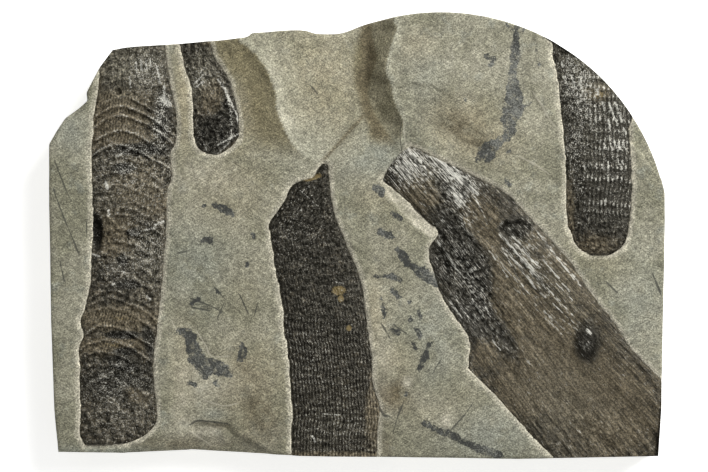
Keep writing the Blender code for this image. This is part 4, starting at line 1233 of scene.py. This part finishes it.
# Painted glints drawn as bright streaks of one half width each, as x, y, x, y and so on
EVEN_GLINT_STREAKS = {
    0.1: [
        (-28, 22.5, -19.5, 15), (-23, 25, -28, 21.5),
    ],
    0.2: [
        (66, -8, 80.5, -29), (105.5, -92.5, 115.5, -102), (83, -76, 87, -79), (85, -4, 94, -13.5),
        (-104.5, 86.5, -104, 82.5), (-74.5, 64, -73, 60), (-76, 46.5, -74.5, 42.5),
        (-17, -88, -10, -88.5),
    ],
    0.3: [
        (127, 47, 128, 43.5), (122, 46, 123, 43), (131.5, 46, 132.5, 43), (124, 36.5, 124.5, 34),
        (71, -4.5, 83, -26.5), (93, -13, 105.5, -28), (100.5, -40.5, 109, -46.5),
        (105.5, -17, 110.5, -24.5), (67, -51.5, 71, -56.5), (64, -6, 85, -28.5),
        (63, -33.5, 66, -40), (57, -31.5, 61, -38), (77, 0, 85.5, -10), (98.5, -23.5, 106.5, -31.5),
        (46, -32.5, 52, -40.5), (49, -31.5, 55, -40), (86.5, -24.5, 93.5, -30.5),
        (71, -13, 76.5, -20), (-107, 87.5, -106.5, 82), (-112.5, 79, -112, 73.5),
        (-105, 3, -100, 4), (-27.5, 13), (-11.5, -22.5, -7, -23.5), (-22, -61.5), (-11.5, -73),
        (2, -90), (-8, -32), (121, 35.5, 121, 33.5),
    ],
    0.4: [
        (124, 57.5, 125, 53.5), (121.5, 66, 122.5, 62.5), (124.6, 66, 126, 62.5),
        (127.7, 66, 129.2, 62.5), (129, 46.3, 130.2, 42.6), (125.2, 45.5, 126, 42.6),
        (110, 77, 111, 73), (78, -4, 90.5, -15.5), (89.5, 2, 98.5, -10, 107.5, -21.5),
        (92.5, -37, 102.5, -46.5), (42, 37, 52, 27.5), (-118.5, 11.5), (-100, 5.5, -95.5, 7.5),
        (-123.5, -15.5), (-21, 24), (-22.5, 20), (-39, -9.5), (-22, -99, -20.5, -102.5),
        (129.5, 61, 131.5, 56.5), (109.5, 6.5),
    ],
    0.5: [
        (106.7, 78.5, 107.9, 73.5), (74, -7, 87.5, -24.5), (51, 28.5, 58.5, 22),
        (31, 16.5, 35.5, 14.5), (19.5, 34, 25, 29.5), (-95.5, 74.5, -95.5, 68.5), (-115.5, -18),
        (-22.5, -11), (101.5, 86, 102, 84), (126, 61.5, 129, 55), (112, 34.5, 113, 33.5),
    ],
    0.6: [
        (20.5, 37.5, 26, 31.5), (23.5, 39, 29, 33.5), (-124.5, 26.5, -123.5, 23.5),
        (102.5, 79, 103.5, 76), (119, 72.5, 119, 70),
    ],
    0.7: [
        (70.5, 1, 91.5, -22),
    ],
    0.8: [
        (113.5, -46.5, 115.5, -48),
    ],
    1.2: [
        (-96, 68, -93, 65),
    ],
}
TAPERED_GLINT_STREAKS = [
    [(94, -25.5, 0.3), (110, -43, 0.2)], [(88, -35.5, 0.3), (103, -50, 0.2)],
    [(80.5, -11, 0.3), (95, -28, 0.2)], [(37, 39, 0.8), (48.5, 30, 0.7), (59.5, 21, 0.8)],
    [(47.5, 23, 0.7), (49, 19, 0.7), (50.5, 14.5, 0.5)],
    [(40, -2.5, 0.4), (45.5, -10.5, 0.5), (51, -19.5, 0.4)],
    [(83, -60.5, 0.3), (87, -65, 0.2), (91, -70, 0.2)], [(97, -33.5, 0.4), (109, -44.5, 0.3)],
    [(58, 19.5, 0.3), (61.5, 13, 0.3), (64.5, 6, 0.2)], [(42, 8, 0.5), (45.5, 4.5, 0.4)],
    [(130, -69, 0.3), (132, -68.5, 0.3), (133.5, -70, 0.2)], [(-99, 84, 0.4), (-97.5, 75.5, 0.3)],
    [(-123, 12.5, 0.6), (-123, 10, 0.5)], [(-104, -30, 0.5), (-102, -31.5, 0.4)],
    [(-121, -24, 0.5), (-120, -23.5, 0.4)], [(-131, -9, 0.5), (-127.5, -10, 0.4)],
    [(-102.5, 88, 0.3), (-102, 84, 0.2)], [(-109.5, 86, 0.3), (-109, 81, 0.2)],
    [(-118.5, 39.5, 0.3), (-115.5, 41.5, 0.2)],
    [(-69, 77.5, 0.4), (-65, 72, 0.6), (-62.5, 66, 0.5), (-59.5, 60, 0.4), (-58.8, 54, 0.2)],
    [(-69, 45, 0.2), (-59, 50.5, 0.4)], [(-81, 75, 0.3), (-76, 80, 0.2)],
    [(-80, 73.5, 0.2), (-76, 76.5, 0.3)], [(132, 53.5, 0.5), (133, 50.5, 0.4)],
    [(118.5, 35.5, 0.4), (118.5, 33.5, 0.3)], [(122.5, 17.5, 0.5), (122.5, 15.5, 0.4)],
    [(120.5, 17, 0.4), (120.5, 15.5, 0.3)], [(129, 37.5, 0.4), (129.5, 35.5, 0.3)],
    [(131, 37, 0.4), (131.5, 35.5, 0.3)], [(124, 30, 0.4), (124, 27.5, 0.3)],
]
GLINT_STREAKS = TAPERED_GLINT_STREAKS + [
    [(x, y, half) for x, y in zip(line[::2], line[1::2])]
    for half, lines in EVEN_GLINT_STREAKS.items() for line in lines
]
# Share of brown, how far the strands are drawn out, how rare the sparks are, and how strong they
# stay in the gaps between the strands
STEM_LOOKS = {
    "stem_left": (0.54, 1.4, 1.04, 0.5),
    "stem_small": (0.45, 2.2, 1.05, 0.5),
    "stem_middle": (0.42, 2.5, 1.08, 0.5),
    "stem_diagonal": (0.46, 12, 1.03, 0.1),
    "stem_right": (0.42, 2.0, 1.05, 0.4),
}
for name, (piece, x, y, _, crest, vein, u, v) in stems.items():
    uv = piece.data.uv_layers.new(name="flow")
    corners = np.empty(len(piece.data.loops), int)
    piece.data.loops.foreach_get("vertex_index", corners)
    uv.data.foreach_set("uv", np.stack([u, v], axis=1)[corners].astype(np.float32).ravel())
    black = zone_amount(STEM_BLACK, x, y, power=4)
    on_diagonal = name == "stem_diagonal"
    for kind, amount in (
            ("crest", np.clip(crest, 0, 1)),
            ("vein", np.clip(vein, 0, 1)),
            ("black", black),
            ("dull", zone_amount(DULL_COAL, x, y) * (1 - black) * on_diagonal),
            ("brown", zone_amount(STEM_BROWN, x, y) * (1 - black) - 0.3 * black),
            ("glint", zone_amount(STEM_GLINT, x, y)),
            ("ochre", zone_amount(STEM_OCHRE, x, y)),
            ("grey_tone", zone_amount(STEM_GREY_TONE, x, y) * (1 - black)),
            ("glint_streak", soft_step(-strokes(GLINT_STREAKS, x, y, 3.0), -0.45, 0.35)),
    ):
        store(piece, kind, amount)
    piece.data.materials.append(coal_material(name.replace("stem", "coal_of"), *STEM_LOOKS[name]))
    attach(piece, "root")
    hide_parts(name)

# %% Hand over
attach(slab, "root")
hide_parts("shale_slab")
